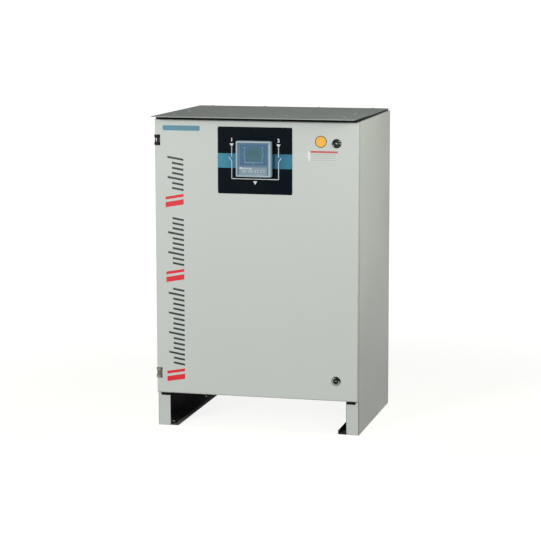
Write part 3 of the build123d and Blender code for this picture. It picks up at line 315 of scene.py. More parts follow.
def brushed(name, colour, roughness=0.3, along=(1.0, 1.0, 0.04)):
    """Metal rubbed along one direction."""
    finish = Finish(name, colour, roughness, metallic=0.95)
    grain = finish.noise(1500.0, 2.0, finish.stretched(*along))
    patina = finish.noise(18.0, 3.0)
    tone = grain * 0.5 + patina * 0.5
    finish.set("Base Color", finish.blend(tone, shade(colour, 0.8), shade(colour, 1.1)))
    finish.set("Roughness", finish.ramp(patina, 0.3, 0.7, roughness - 0.05, roughness + 0.12))
    finish.bump(grain, 0.1, 0.05 * MM)
    return finish


def moulded(name, colour, roughness=0.45, grain=0.08 * MM, specular=0.45):
    """Injection-moulded plastic with a spark-eroded surface."""
    finish = Finish(name, colour, roughness, specular=specular)
    cloud = finish.noise(14.0, 2.0)
    fine = finish.noise(1300.0, 1.0)
    finish.set("Base Color", finish.blend(cloud, shade(colour, 0.93), shade(colour, 1.06)))
    finish.set("Roughness", finish.ramp(cloud, 0.3, 0.7, roughness - 0.05, roughness + 0.06))
    finish.bump(fine, 0.3, grain)
    return finish


def hinge_casting(name, upper, lower):
    """The moving hinge halves match their brackets, painted as lit and shaded copies of one metal: near
    black at the top for painted shade, grey bare metal at the bottom for painted light.
    """
    finish = plated(name, lower, 0.42)
    # on_top: the upper hinge, painted as the shaded copy
    on_top = finish.axis("Z") > (door_low.z + door_high.z) / 2
    finish.set("Base Color", finish.blend(on_top, finish.fed_by("Base Color"), upper))
    finish.set("Metallic", 0.9 - on_top * 0.9)
    return finish


def foam(name, colour):
    """Poured polyurethane foam: matt, with open cells."""
    finish = Finish(name, colour, 0.9, specular=0.2)
    cells = finish.node("ShaderNodeTexVoronoi", {}, {"Vector": finish.place(), "Scale": 900.0})
    finish.set("Base Color", finish.blend(cells, shade(colour, 0.7), shade(colour, 1.25)))
    finish.bump(cells, 0.6, 0.3 * MM)
    return finish


def ink(name, colour, roughness=0.4):
    """Screen-printed ink, a little uneven in cover."""
    finish = Finish(name, colour, roughness, specular=0.35)
    cover = finish.noise(260.0, 3.0)
    finish.set("Base Color", finish.blend(cover, shade(colour, 0.94), shade(colour, 1.05)))
    finish.bump(finish.noise(1800.0, 1.0), 0.1, 0.02 * MM)
    return finish


def film(name, colour):
    """Dark polyester film of the fascia, printed from behind: even, with little gloss."""
    finish = Finish(name, colour, 0.5, specular=0.04)
    cloud = finish.noise(9.0, 2.0)
    finish.set("Base Color", finish.blend(cloud, shade(colour, 0.75), shade(colour, 1.3)))
    finish.set("Roughness", finish.ramp(cloud, 0.3, 0.7, 0.44, 0.56))
    finish.bump(finish.noise(1500.0, 1.0), 0.15, 0.02 * MM)
    return finish


def band_ink(name, colours):
    """Printed band, lightest at the outer ends of the fascia and deep beside the window."""
    finish = Finish(name, colours.band, 0.45, specular=0.15)
    leftward = finish.ramp(finish.axis("X"), window_low.x, fascia_low.x, 0.45, 0.95)
    rightward = finish.ramp(finish.axis("X"), window_high.x, fascia_high.x, 0.0, 0.45)
    on_right = finish.axis("X") > (window_low.x + window_high.x) / 2
    depth = leftward * (1 - on_right) + rightward * on_right
    cover = finish.noise(200.0, 2.0) * 0.1
    finish.set("Base Color", finish.blend(depth + cover, colours.band_deep, colours.band))
    return finish


def clear_sheet(name, tint, alpha):
    """Clear polycarbonate: mostly see-through, with its reflection and faint wipe marks."""
    finish = Finish(name, tint, 0.06, specular=0.2)
    wiped = finish.noise(22.0, 3.0, finish.stretched(0.3, 1.0, 1.6))
    finish.set("Alpha", finish.ramp(wiped, 0.35, 0.75, alpha, alpha * 1.5))
    finish.set("Roughness", finish.ramp(wiped, 0.35, 0.75, 0.05, 0.14))
    finish.material.surface_render_method = "BLENDED"
    return finish


def lcd(name, edge, core):
    """Liquid-crystal picture behind glass: blue-grey with a greener, darker middle."""
    finish = Finish(name, edge, 0.16, specular=0.3)
    centre = (screen_low + screen_high) / 2
    size = screen_high - screen_low
    across = (finish.axis("X") - centre.x) * (2 / size.x)
    upward = (finish.axis("Z") - centre.z) * (2 / size.z)
    from_centre = across * across + upward * upward
    glow = finish.ramp(from_centre, 0.05, 1.1, 1.0, 0.0)
    columns = finish.node("ShaderNodeTexWave", {"bands_direction": "X"}, {"Scale": 350.0})
    finish.set("Base Color", finish.blend(glow * 0.8 + columns * 0.12, edge, core))
    return finish


# ---- Outlines in the front view, as (x, z) points
def front_centre(low, high):
    """Middle of a box as the front view shows it."""
    return (low.x + high.x) / 2, (low.z + high.z) / 2


def rectangle(left, right, low, high):
    return [(left, low), (right, low), (right, high), (left, high)]


def rounded(left, right, low, high, radius, steps=6):
    """Rectangle with round corners."""
    centres = [(right - radius, high - radius, 0), (left + radius, high - radius, 90),
               (left + radius, low + radius, 180), (right - radius, low + radius, 270)]
    outline = []
    for x, z, start in centres:
        for i in range(steps + 1):
            angle = radians(start + 90 * i / steps)
            outline.append((x + radius * cos(angle), z + radius * sin(angle)))
    return outline


def disc(x, z, radius, steps=48):
    angles = [tau * i / steps for i in range(steps)]
    return [(x + radius * cos(angle), z + radius * sin(angle)) for angle in angles]


def stroke(points, width):
    """Line of even width through some points, with mitred corners."""
    left, right = [], []
    for i, (x, z) in enumerate(points):
        ahead = Vector(points[min(i + 1, len(points) - 1)]) - Vector((x, z))
        behind = Vector((x, z)) - Vector(points[max(i - 1, 0)])
        directions = [d.normalized() for d in (ahead, behind) if d.length > 0]
        along = sum(directions, Vector((0, 0))).normalized()
        normal = Vector((-along.y, along.x))
        reach = width / 2 / max(0.3, normal.dot(Vector((-directions[0].y, directions[0].x))))
        left.append((x + normal.x * reach, z + normal.y * reach))
        right.append((x - normal.x * reach, z - normal.y * reach))
    return left + right[::-1]


# ---- Solids, each added to a bmesh
def prism(bm, outline, y_front, y_back):
    """Solid with an outline in the front view, given as (x, z) points, between two depths."""
    front = [bm.verts.new((x, y_front, z)) for x, z in outline]
    back = [bm.verts.new((x, y_back, z)) for x, z in outline]
    bm.faces.new(front)
    bm.faces.new(reversed(back))
    for i, corner in enumerate(front):
        j = (i + 1) % len(front)
        bm.faces.new((corner, back[i], back[j], front[j]))


def block(bm, low, high, bevel):
    """Box between two corners, with rounded edges."""
    centre = (Vector(low) + Vector(high)) / 2
    size = Vector(high) - Vector(low)
    matrix = Matrix.Translation(centre) @ Matrix.Diagonal((*size, 1))
    made = bmesh.ops.create_cube(bm, size=1.0, matrix=matrix)
    edges = list({edge for corner in made["verts"] for edge in corner.link_edges})
    bmesh.ops.bevel(bm, geom=edges, offset=bevel, segments=2, affect="EDGES", profile=0.5)


def turned(bm, profile, place, axis, count=24):
    """Turned solid: (radius, distance along the axis) points, from the foot to the tip."""
    turn = Vector((0, 0, 1)).rotation_difference(Vector(axis)).to_matrix()
    rings = []
    for radius, along in profile:
        corners = count if radius else 1
        angles = [tau * i / corners for i in range(corners)]
        spots = [Vector((radius * cos(angle), radius * sin(angle), along)) for angle in angles]
        rings.append([bm.verts.new(Vector(place) + turn @ spot) for spot in spots])
    for low, high in zip(rings, rings[1:]):
        for i in range(count):
            j = (i + 1) % count
            corners = [low[i % len(low)], low[j % len(low)], high[j % len(high)], high[i % len(high)]]
            unique = list(dict.fromkeys(corners))  # at a tip two corners are one
            if len(unique) > 2:
                bm.faces.new(unique)
    for ring in (rings[0], rings[-1]):
        if len(ring) > 1:
            bm.faces.new(ring)


# ---- Pieces of the scene
def linked(name, data):
    """A new object of the scene for a mesh, a curve, a lamp or a camera."""
    made = bpy.data.objects.new(name, data)
    bpy.context.scene.collection.objects.link(made)
    return made


def filled_mesh(name, fill):
    """A mesh from a function that fills a bmesh, with its faces turned outward."""
    mesh = bpy.data.meshes.new(name)
    bm = bmesh.new()
    fill(bm)
    bmesh.ops.remove_doubles(bm, verts=bm.verts, dist=1e-7)
    bmesh.ops.recalc_face_normals(bm, faces=bm.faces)
    bm.to_mesh(mesh)
    bm.free()
    return mesh


def final_mesh(made):
    """The mesh of a curve, or of an object after its modifiers; the object itself goes."""
    bpy.context.view_layer.update()
    graph = bpy.context.evaluated_depsgraph_get()
    mesh = bpy.data.meshes.new_from_object(made.evaluated_get(graph))
    bpy.data.objects.remove(made)
    return mesh


def dressed(name, mesh, body, finish):
    """An object with one finish that rides on a body and names its material slot."""
    mesh.materials.clear()
    mesh.materials.append(finishes[finish])
    made = linked(name, mesh)
    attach(made, body)
    return made


def piece(name, fill, body, finish, smooth_angle=35):
    """Makes an object from a function that fills a bmesh, smooth up to an angle in degrees."""
    mesh = filled_mesh(name, fill)
    mesh.polygons.foreach_set("use_smooth", [True] * len(mesh.polygons))
    mesh.set_sharp_from_angle(angle=radians(smooth_angle))
    return dressed(name, mesh, body, finish)


def printed(name, outlines, y_plate, finish, body="door", lift=0.0):
    """Flat ink or film on a plate that faces the front, from a list of outlines."""

    def fill(bm):
        for outline in outlines:
            prism(bm, outline, y_plate - PRINT_RISE - lift, y_plate + PRINT_SINK - lift)

    return piece(name, fill, body, finish)


def figure(name, text, x, z, height, y_plate, finish, body, turn=0.0, pivot=None, lift=0.0):
    """A plain printed number that stands upright, or is turned about a pivot on a disc."""
    curve = bpy.data.curves.new(name, "FONT")
    curve.body = text
    curve.size = height * 1.4
    curve.offset = height * 0.06
    curve.align_x = "CENTER"
    curve.align_y = "CENTER"
    curve.resolution_u = 4
    curve.extrude = (PRINT_RISE + PRINT_SINK) / 2
    mesh = final_mesh(linked(name, curve))
    y = y_plate - lift - (PRINT_RISE - PRINT_SINK) / 2
    matrix = Matrix.Translation((x, y, z)) @ Matrix.Rotation(pi / 2, 4, "X")
    if pivot:
        centre = Vector((pivot[0], y, pivot[1]))
        about = Matrix.Translation(centre) @ Matrix.Rotation(turn, 4, "Y") @ Matrix.Translation(-centre)
        matrix = about @ matrix
    mesh.transform(matrix)
    return dressed(name, mesh, body, finish)


def cross_head(name, radius, height, recess):
    """Pan-head screw with a cross recess, its underside at the origin and its head along +Z."""
    rim = radians(18)  # the dome is the cap of a ball, from here up
    steps = 6
    dome = [(0, height)]
    for i in range(1, steps + 1):
        angle = pi / 2 - (pi / 2 - rim) * i / steps
        dome.append((radius * cos(angle) / cos(rim), height * (0.45 + 0.55 * sin(angle))))
    profile = [(radius, 0), (radius, height * 0.4)] + dome[::-1]
    arm = radius * 0.62
    wide = radius * 0.16
    cross = []
    corners = [(wide, wide), (wide, arm), (-wide, arm)]
    for _ in range(4):
        cross += corners
        corners = [(-y, x) for x, y in corners]

    def fill(bm):
        turned(bm, profile, (0, 0, 0), (0, 0, 1), 32)

    def fill_recess(bm):
        low = [bm.verts.new((x * 0.6, y * 0.6, height - recess)) for x, y in cross]
        high = [bm.verts.new((x, y, height + radius)) for x, y in cross]
        bm.faces.new(low)
        bm.faces.new(high)
        for i in range(len(cross)):
            j = (i + 1) % len(cross)
            bm.faces.new((low[i], low[j], high[j], high[i]))

    head = linked(name, filled_mesh(name, fill))
    cutter = linked(name + "_recess", filled_mesh(name + "_recess", fill_recess))
    cut = head.modifiers.new("recess", "BOOLEAN")
    cut.operation = "DIFFERENCE"
    cut.solver = "EXACT"
    cut.object = cutter
    mesh = final_mesh(head)
    bpy.data.objects.remove(cutter)
    return mesh


def placed_copies(name, mesh, spots, body, finish):
    """One object with a copy of a mesh at each spot: (place, direction of its +Z, turn)."""

    def fill(bm):
        for place, axis, turn in spots:
            before = len(bm.verts)
            bm.from_mesh(mesh)
            bm.verts.ensure_lookup_table()
            swing = Vector((0, 0, 1)).rotation_difference(Vector(axis)).to_matrix().to_4x4()
            matrix = Matrix.Translation(place) @ swing @ Matrix.Rotation(turn, 4, "Z")
            bmesh.ops.transform(bm, matrix=matrix, verts=bm.verts[before:])

    return piece(name, fill, body, finish)


def roof_slope():
    """How much the roof plate falls to the rear, for each unit of depth."""
    low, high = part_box("roof_plate")
    edge = [v.co.z for v in frame["nodes"]["roof_plate"].data.vertices if v.co.y < low.y + MM]
    sheet = max(edge) - min(edge)
    return (high.z - low.z - sheet) / (high.y - low.y)


def finish_nodes(makers):
    """Gives every CAD node of each named slot that slot's finish."""
    for slot, maker in makers.items():
        maker(slot)
        nodes = [node for node, its_slot in slot_of.items() if its_slot == slot]
        if not nodes:
            raise RuntimeError(f"no node has the slot {slot}")
        for node in nodes:
            frame["nodes"][node].data.materials[0] = finishes[slot]


# ---- Settings
class CabinetColours(bpy.types.PropertyGroup):
    """Colours of the cabinet, its fascia and the marks down its door."""

    coat: FloatVectorProperty(
        name="Cabinet coat", description="Powder coat of the cabinet and its door",
        default=paint(200, 206, 202), **COLOUR)
    roof: FloatVectorProperty(
        name="Roof coat", description="Powder coat of the roof plate",
        default=paint(147, 153, 150), **COLOUR)
    fascia: FloatVectorProperty(
        name="Fascia", description="Ground colour of the controller's fascia",
        default=paint(2, 11, 18), **COLOUR)
    band: FloatVectorProperty(
        name="Band", description="Printed band at its outer ends",
        default=paint(69, 141, 169), **COLOUR)
    band_deep: FloatVectorProperty(
        name="Band beside the window", description="Printed band where it is deepest",
        default=paint(34, 94, 121), **COLOUR)
    accent: FloatVectorProperty(
        name="Accent marks", description="Large marks down the door edge",
        default=paint(222, 36, 48), **COLOUR)
    mark: FloatVectorProperty(
        name="Small marks", description="Small marks down the door edge",
        default=paint(24, 42, 40), **COLOUR)


class FasciaPrint(bpy.types.PropertyGroup):
    """Sizes of the one-line diagram and of the band on the fascia."""

    band_low: FloatProperty(
        name="Band, lower edge", description="Height of the band's lower edge above the fascia's",
        default=0.0735, unit="LENGTH")
    band_height: FloatProperty(
        name="Band height", description="Height of the printed band", default=0.0415, unit="LENGTH")
    line: FloatProperty(
        name="Line width", description="Width of the diagram's lines", default=0.0020, unit="LENGTH")
    arrow: FloatProperty(
        name="Arrow width", description="Width of the diagram's arrow heads", default=0.0122,
        unit="LENGTH")
    source_1_from_left: FloatProperty(
        name="Source 1 line", description="First source line from the fascia's left edge",
        default=0.0412, unit="LENGTH")
    source_2_from_right: FloatProperty(
        name="Source 2 line", description="Second source line from the fascia's right edge",
        default=0.0396, unit="LENGTH")
    bus_height: FloatProperty(
        name="Load bus", description="Height of the load bus above the fascia's lower edge",
        default=0.0430, unit="LENGTH")
    number_height: FloatProperty(
        name="Number height", description="Height of the source numbers", default=0.0095,
        unit="LENGTH")


class DoorMarks(bpy.types.PropertyGroup):
    """Column of printed marks down the hinge side of the door."""

    from_edge: FloatProperty(
        name="From door edge", description="Column's left side from the door's left edge",
        default=0.0315, unit="LENGTH")
    accent_width: FloatProperty(
        name="Accent width", description="Width of the large marks", default=0.0540, unit="LENGTH")
    accent_height: FloatProperty(
        name="Accent height", description="Height of the wider bar of each large mark",
        default=0.0150, unit="LENGTH")
    small_width: FloatProperty(
        name="Small mark width", description="Width of the small marks", default=0.0340, unit="LENGTH")
    small_height: FloatProperty(
        name="Small mark height", description="Height of the small marks", default=0.0060,
        unit="LENGTH")
    small_pitch: FloatProperty(
        name="Small mark pitch", description="Spacing of the small marks", default=0.0145,
        unit="LENGTH")


class StudioSetup(bpy.types.PropertyGroup):
    """Camera, lamps, room light and floor."""

    camera: FloatVectorProperty(
        name="Camera place", description="Where the camera stands",
        default=(1.4328, -5.7565, 1.3590), size=3, subtype="TRANSLATION", unit="LENGTH")
    yaw: FloatProperty(
        name="Camera yaw", description="Turn of the view to the left", default=radians(14.135),
        subtype="ANGLE")
    pitch: FloatProperty(
        name="Camera pitch", description="Tilt of the view down", default=radians(8.856),
        subtype="ANGLE")
    roll: FloatProperty(
        name="Camera roll", description="Turn of the view about its own axis",
        default=radians(-0.114), subtype="ANGLE")
    lens: FloatProperty(
        name="Lens", description="Focal length on a 36 mm sensor", default=134.125, unit="CAMERA")
    key: FloatProperty(
        name="Key lamp", description="Soft lamp to the left of the camera", default=267.0,
        unit="POWER")
    cross: FloatProperty(
        name="Cross lamp", description="Soft lamp to the right of the camera", default=24.0,
        unit="POWER")
    fill: FloatProperty(
        name="Fill lamp", description="Small warm lamp near the right side", default=1.8,
        unit="POWER")
    room: FloatProperty(
        name="Room light", description="Even light from all round", default=0.24, min=0, max=1,
        subtype="FACTOR")
    floor_glow: FloatProperty(
        name="Floor glow", description="How much the floor near the cabinet is lifted to white",
        default=0.86, min=0, max=1, subtype="FACTOR")
    floor_radius: FloatProperty(
        name="Floor radius", description="Half the size of the studio floor", default=60.0,
        unit="LENGTH")


class CabinetSettings(bpy.types.PropertyGroup):
    """All settings of the cabinet."""

    colours: PointerProperty(type=CabinetColours)
    fascia: PointerProperty(type=FasciaPrint)
    marks: PointerProperty(type=DoorMarks)
    studio: PointerProperty(type=StudioSetup)
    seed: IntProperty(name="Seed", description="Seed of what varies by chance", default=7)


def settings():
    """The cabinet's settings in the scene."""
    return bpy.context.scene.transfer_switch


# ---- Operators
class StageOperator(bpy.types.Operator):
    """Sets up the floor, the room light, the lamps and the camera"""

    bl_idname = "transfer_switch.stage"
    bl_label = "Studio"

    def execute(self, context):
        studio = settings().studio
        scene = context.scene
        scene.view_settings.view_transform = "Standard"
        self.camera(scene, studio)
        self.lamp("key_lamp", studio.key, place=(-2.6, -6.0, 2.2), target=(0, -0.1, 0.6), size=1.5)
        self.lamp("cross_lamp", studio.cross, place=(3.0, -3.2, 2.3), target=(0.1, -0.1, 0.6), size=1.2)
        self.lamp("fill_lamp", studio.fill, place=(1.15, -0.47, 1.22), target=(0.3, -0.12, 0.74),
                  size=0.5, colour=(1.0, 1.0, 0.84), spread=radians(110))
        self.room(scene, studio)
        self.floor(studio)
        return {"FINISHED"}

    def camera(self, scene, studio):
        data = bpy.data.cameras.new("studio_camera")
        data.lens = studio.lens
        data.sensor_width = 36.0
        made = linked("studio_camera", data)
        turn = Matrix.Rotation(studio.yaw, 4, "Z") @ Matrix.Rotation(pi / 2 - studio.pitch, 4, "X")
        turn = turn @ Matrix.Rotation(studio.roll, 4, "Z")
        made.matrix_world = Matrix.Translation(studio.camera) @ turn
        scene.camera = made

    def lamp(self, name, power, place, target, size, colour=(1, 1, 1), spread=pi):
        """Square area lamp that faces its target."""
        data = bpy.data.lights.new(name, "AREA")
        data.size = size
        data.energy = power
        data.color = colour
        data.spread = spread
        made = linked(name, data)
        made.location = place
        made.rotation_mode = "QUATERNION"
        made.rotation_quaternion = (Vector(target) - Vector(place)).to_track_quat("-Z", "Y")

    def room(self, scene, studio):
        """A room that looks white, and lights the cabinet with only a share of that."""
        world = bpy.data.worlds.new("studio_room")
        scene.world = world
        world.use_nodes = True
        room = NodeTree(world.node_tree)
        background = room.tree.nodes["Background"]
        room.join((1, 1, 1, 1), background.inputs["Color"])
        strength = room.seen_directly() * (1 - studio.room) + studio.room
        room.join(strength, background.inputs["Strength"])

    def floor(self, studio):
        """Pale floor that reads as white where it is lit, and keeps the cabinet's shadow."""
        floor = Finish("studio_floor")
        floor.tree.nodes.remove(floor.shader)
        pale = (0.30, 0.30, 0.24, 1)
        diffuse = floor.node("ShaderNodeBsdfDiffuse", inputs={"Color": pale})
        from_middle = floor.node("ShaderNodeVectorMath", {"operation": "LENGTH"},
                                 {0: floor.place()}, output="Value")
        near, far = 0.7, 2.2
        glow = floor.ramp(from_middle, near, far, studio.floor_glow, 1.0)
        lift = floor.node("ShaderNodeEmission", inputs={"Strength": floor.seen_directly() * glow})
        lit = floor.node("ShaderNodeAddShader", inputs={0: diffuse, 1: lift})
        output = floor.tree.nodes["Material Output"]
        floor.tree.links.new(lit.socket, output.inputs["Surface"])
        mesh = bpy.data.meshes.new("studio_floor")
        reach = studio.floor_radius
        corners = [(-reach, -reach, 0), (reach, -reach, 0), (reach, reach, 0), (-reach, reach, 0)]
        mesh.from_pydata(corners, [], [(0, 1, 2, 3)])
        mesh.materials.append(finishes["studio_floor"])
        made = linked("studio_floor", mesh)
        made.location.z = cad_box[0].z - 0.5 * MM  # clear of the foot rails


class CoatOperator(bpy.types.Operator):
    """Coats the cabinet, the door, the roof plate and the fascia, and finishes the gasket"""

    bl_idname = "transfer_switch.coat"
    bl_label = "Powder coat"

    def execute(self, context):
        colours = settings().colours
        finish_nodes({
            # near-black painted shade for the insides of the legs
            "cabinet_paint": lambda slot: body_coat(slot, colours.coat, paint(5, 6, 6)),
            "door_paint": lambda slot: door_coat(slot, colours.coat),
            "roof_paint": lambda slot: roof_coat(slot, colours.roof),
            "fascia_black": lambda slot: film(slot, colours.fascia),
            "gasket_foam": lambda slot: foam(slot, paint(44, 46, 48)),
        })
        return {"FINISHED"}


class MetalOperator(bpy.types.Operator):
    """Finishes the galvanised, plated, brushed and copper pieces"""

    bl_idname = "transfer_switch.metals"
    bl_label = "Metals"

    def execute(self, context):
        finish_nodes({
            "galvanised_steel": lambda slot: galvanised(slot, paint(196, 200, 202)),
            "zinc_fasteners": lambda slot: plated(slot, paint(205, 206, 204)),
            # both hinges are one metal: the upper is painted near black as shade, the lower grey as lit
            "hinge_leaf_steel": lambda slot: hinge_casting(slot, paint(12, 13, 14), paint(104, 102, 94)),
            "lower_hinge_metal": lambda slot: plated(slot, paint(124, 122, 112), 0.42),
            "lower_lock_metal": lambda slot: plated(slot, paint(122, 126, 118), 0.34),
            "lock_insert": lambda slot: plated(slot, paint(36, 40, 38), 0.4),
            "cam_steel": lambda slot: plated(slot, paint(190, 188, 178), 0.34),
            "shaft_steel": lambda slot: brushed(slot, paint(176, 176, 172), 0.3, (1.0, 0.03, 1.0)),
            "copper": lambda slot: brushed(slot, paint(206, 132, 96), 0.28),
            "motor_casing": lambda slot: plated(slot, paint(128, 130, 134), 0.45),
        })
        return {"FINISHED"}


class MouldingOperator(bpy.types.Operator):
    """Finishes the moulded and clear plastic pieces and the screen"""

    bl_idname = "transfer_switch.mouldings"
    bl_label = "Mouldings"

    def execute(self, context):
        finish_nodes({
            # near black as painted shade: this hinge is the same metal as the lower one
            "upper_hinge_black": lambda slot: moulded(slot, paint(6, 7, 8), 0.4, specular=0.2),
            "upper_lock_black": lambda slot: moulded(slot, paint(7, 9, 9), 0.36, specular=0.2),
            "gland_black": lambda slot: moulded(slot, paint(26, 27, 28), 0.5),
            "frame_grey": lambda slot: moulded(slot, paint(168, 188, 200), 0.4, specular=0.25),
            "controller_grey": lambda slot: moulded(slot, paint(84, 114, 140), 0.45, specular=0.2),
            "key_white": lambda slot: moulded(slot, paint(170, 184, 192), 0.4),
            "switch_black": lambda slot: moulded(slot, paint(34, 35, 37), 0.5),
            "drive_grey": lambda slot: moulded(slot, paint(122, 126, 130), 0.45),
            "carriage_white": lambda slot: moulded(slot, paint(216, 214, 204), 0.5),
            "dial_white": lambda slot: moulded(slot, paint(232, 232, 228), 0.45),
            "shutter_orange": lambda slot: moulded(slot, paint(226, 112, 34), 0.4),
            "handle_black": lambda slot: moulded(slot, paint(22, 22, 24), 0.55, grain=0.15 * MM),
            "device_grey": lambda slot: moulded(slot, paint(196, 198, 194), 0.5),
            "lever_grey": lambda slot: moulded(slot, paint(92, 96, 100), 0.45),
            "duct_grey": lambda slot: moulded(slot, paint(158, 162, 164), 0.55),
            "clear_cover": lambda slot: clear_sheet(slot, paint(196, 216, 228), 0.05),
            "screen_glass": lambda slot: lcd(slot, paint(28, 86, 130), paint(0, 92, 106)),
        })
        return {"FINISHED"}


class FasciaOperator(bpy.types.Operator):
    """Prints the band, the one-line diagram and the source numbers on the fascia"""

    bl_idname = "transfer_switch.fascia"
    bl_label = "Fascia print"

    def execute(self, context):
        sizes = settings().fascia
        plate = fascia_low.y
        left, right = fascia_low.x, fascia_high.x
        band_ink("band_ink", settings().colours)
        ink("white_ink", paint(214, 220, 222))
        band_low = fascia_low.z + sizes.band_low
        band_high = band_low + sizes.band_height
        halves = [(left, window_low.x), (window_high.x, right)]
        printed("fascia_band", [rectangle(*half, band_low, band_high) for half in halves], plate,
                "band_ink")
        self.diagram(sizes, plate, left + sizes.source_1_from_left, right - sizes.source_2_from_right)
        return {"FINISHED"}

    def diagram(self, sizes, plate, source_1_x, source_2_x):
        """Each source feeds down through an open switch blade to the load bus."""
        low = fascia_low.z
        bus = low + sizes.bus_height
        half = sizes.arrow / 2
        tip = low + 0.1330
        top = tip + 0.0105  # of the source arrows
        contact = low + 0.1060
        blade_tip, blade_root = low + 0.1048, low + 0.0932
        blade_swing = 0.0083
        number = low + 0.1535
        outlines = []
        for x, outward in ((source_1_x, -1), (source_2_x, 1)):
            outlines.append([(x - half, top), (x + half, top), (x, tip)])
            outlines.append(stroke([(x, tip + 3 * MM), (x, contact)], sizes.line))
            blade = [(x + outward * blade_swing, blade_tip), (x, blade_root), (x, bus)]
            outlines.append(stroke(blade, sizes.line))
        ends = [(source_1_x - sizes.line / 2, bus), (source_2_x + sizes.line / 2, bus)]
        outlines.append(stroke(ends, sizes.line))
        load_x = (source_1_x + source_2_x) / 2
        load_top, load_tip = bus - 0.0060, bus - 0.0162
        outlines.append([(load_x - half, load_top), (load_x + half, load_top), (load_x, load_tip)])
        printed("one_line_diagram", outlines, plate, "white_ink", lift=PRINT_RISE)
        for source, x in (("1", source_1_x), ("2", source_2_x)):
            figure(f"source_number_{source}", source, x, number, sizes.number_height, plate,
                   "white_ink", "door")


class DoorMarksOperator(bpy.types.Operator):
    """Prints the column of plain marks down the hinge side of the door"""

    bl_idname = "transfer_switch.door_marks"
    bl_label = "Door marks"

    run_starts = (0.034, 0.327, 0.545)  # a run of marks begins at each, from the door's lower edge
    column_end = 0.713
    bars = ((0.0, 1.0), (1.5, 0.55))  # start and height of an accent's bars, in accent heights

    def execute(self, context):
        sizes = settings().marks
        colours = settings().colours
        ink("accent_ink", colours.accent)
        ink("mark_ink", colours.mark)
        left = door_low.x + sizes.from_edge
        right = left + sizes.accent_width
        slant = sizes.accent_width * 0.18
        starts = [door_low.z + rise for rise in self.run_starts]
        accents = self.accents(sizes, starts, left, right, slant)
        printed("accent_marks", accents, door_low.y, "accent_ink")
        dashes = []
        for start, end in zip(starts, starts[1:] + [door_low.z + self.column_end]):
            accent_top = start + sizes.accent_height * sum(self.bars[-1]) + slant
            dashes += self.dashes(sizes, accent_top + 8 * MM, end - 12 * MM, right)
        printed("small_marks", dashes, door_low.y, "mark_ink")
        return {"FINISHED"}

    def accents(self, sizes, starts, left, right, slant):
        """A wide bar with a narrow one over it at the start of each run."""
        outlines = []
        for start in starts:
            for rise, share in self.bars:
                low = start + sizes.accent_height * rise
                high = low + sizes.accent_height * share
                outlines.append([(left, low), (right, low + slant), (right, high + slant), (left, high)])
        return outlines

    def dashes(self, sizes, first, end, right):
        """Small marks that fill a run, with every fourth one longer."""
        outlines = []
        for i in range(int((end - first) // sizes.small_pitch)):
            low = first + i * sizes.small_pitch
            width = sizes.small_width * (1.4 if i % 4 == 2 else 1.0)
            drop = width * 0.16
            high = low + sizes.small_height
            outlines.append([(right - width, low + drop), (right, low), (right, high),
                             (right - width, high + drop)])
        return outlines


class LabelOperator(bpy.types.Operator):
    """Sticks the blank name strip, the round inspection sticker and the ruled record label"""

    bl_idname = "transfer_switch.labels"
    bl_label = "Blank labels"

    def execute(self, context):
        ink("strip_blue", paint(84, 138, 160), 0.4)
        ink("sticker_amber", paint(250, 184, 70), 0.35)
        ink("sticker_ring", paint(70, 52, 20), 0.4)
        ink("label_white", paint(206, 210, 206), 0.35)
        ink("label_red", paint(196, 92, 92), 0.35)
        ink("label_rule", paint(158, 166, 168), 0.4)
        ink("label_tab", paint(232, 234, 232), 0.35)
        self.name_strip()
        self.sticker()
        self.record_label()
        return {"FINISHED"}

    def stick(self, name, outlines, finish, lift=0.0):
        printed(name, outlines, door_low.y, finish, lift=lift)

    def name_strip(self):
        left = door_low.x + 0.0245
        high = door_high.z - 0.0165
        length, height = 0.1105, 0.0145
        strip = rounded(left, left + length, high - height, high, 3.5 * MM)
        self.stick("blank_name_strip", [strip], "strip_blue")

    def sticker(self):
        """Blank amber disc with a dark ring."""
        x, z = door_high.x - 0.1080, door_high.z - 0.0550
        radius = 0.0170
        ring = 2.2 * MM
        self.stick("inspection_sticker_ring", [disc(x, z, radius)], "sticker_ring")
        self.stick("inspection_sticker", [disc(x, z, radius - ring)], "sticker_amber", PRINT_RISE)

    def record_label(self):
        """White label with a red header, four ruled lines and a paler tab at its left."""
        right = door_high.x - 0.0595
        left = right - 0.0830
        high = door_high.z - 0.0795
        low = high - 0.0325
        margin = 1.5 * MM
        self.stick("record_label", [rounded(left, right, low, high, margin)], "label_white")
        ruled_left = left + 4 * MM
        tab = rounded(left - 2.5 * MM, ruled_left, low + 3 * MM, high - 3 * MM, margin)
        self.stick("record_label_tab", [tab], "label_tab", PRINT_RISE / 2)
        header = rectangle(ruled_left, right, high - 7 * MM, high - margin)
        self.stick("record_label_header", [header], "label_red", PRINT_RISE)
        lows = [low + 4.5 * MM + 5.5 * MM * i for i in range(4)]
        rules = [rectangle(ruled_left, right - 4 * MM, z, z + 1.1 * MM) for z in lows]
        self.stick("record_label_rules", rules, "label_rule", PRINT_RISE)


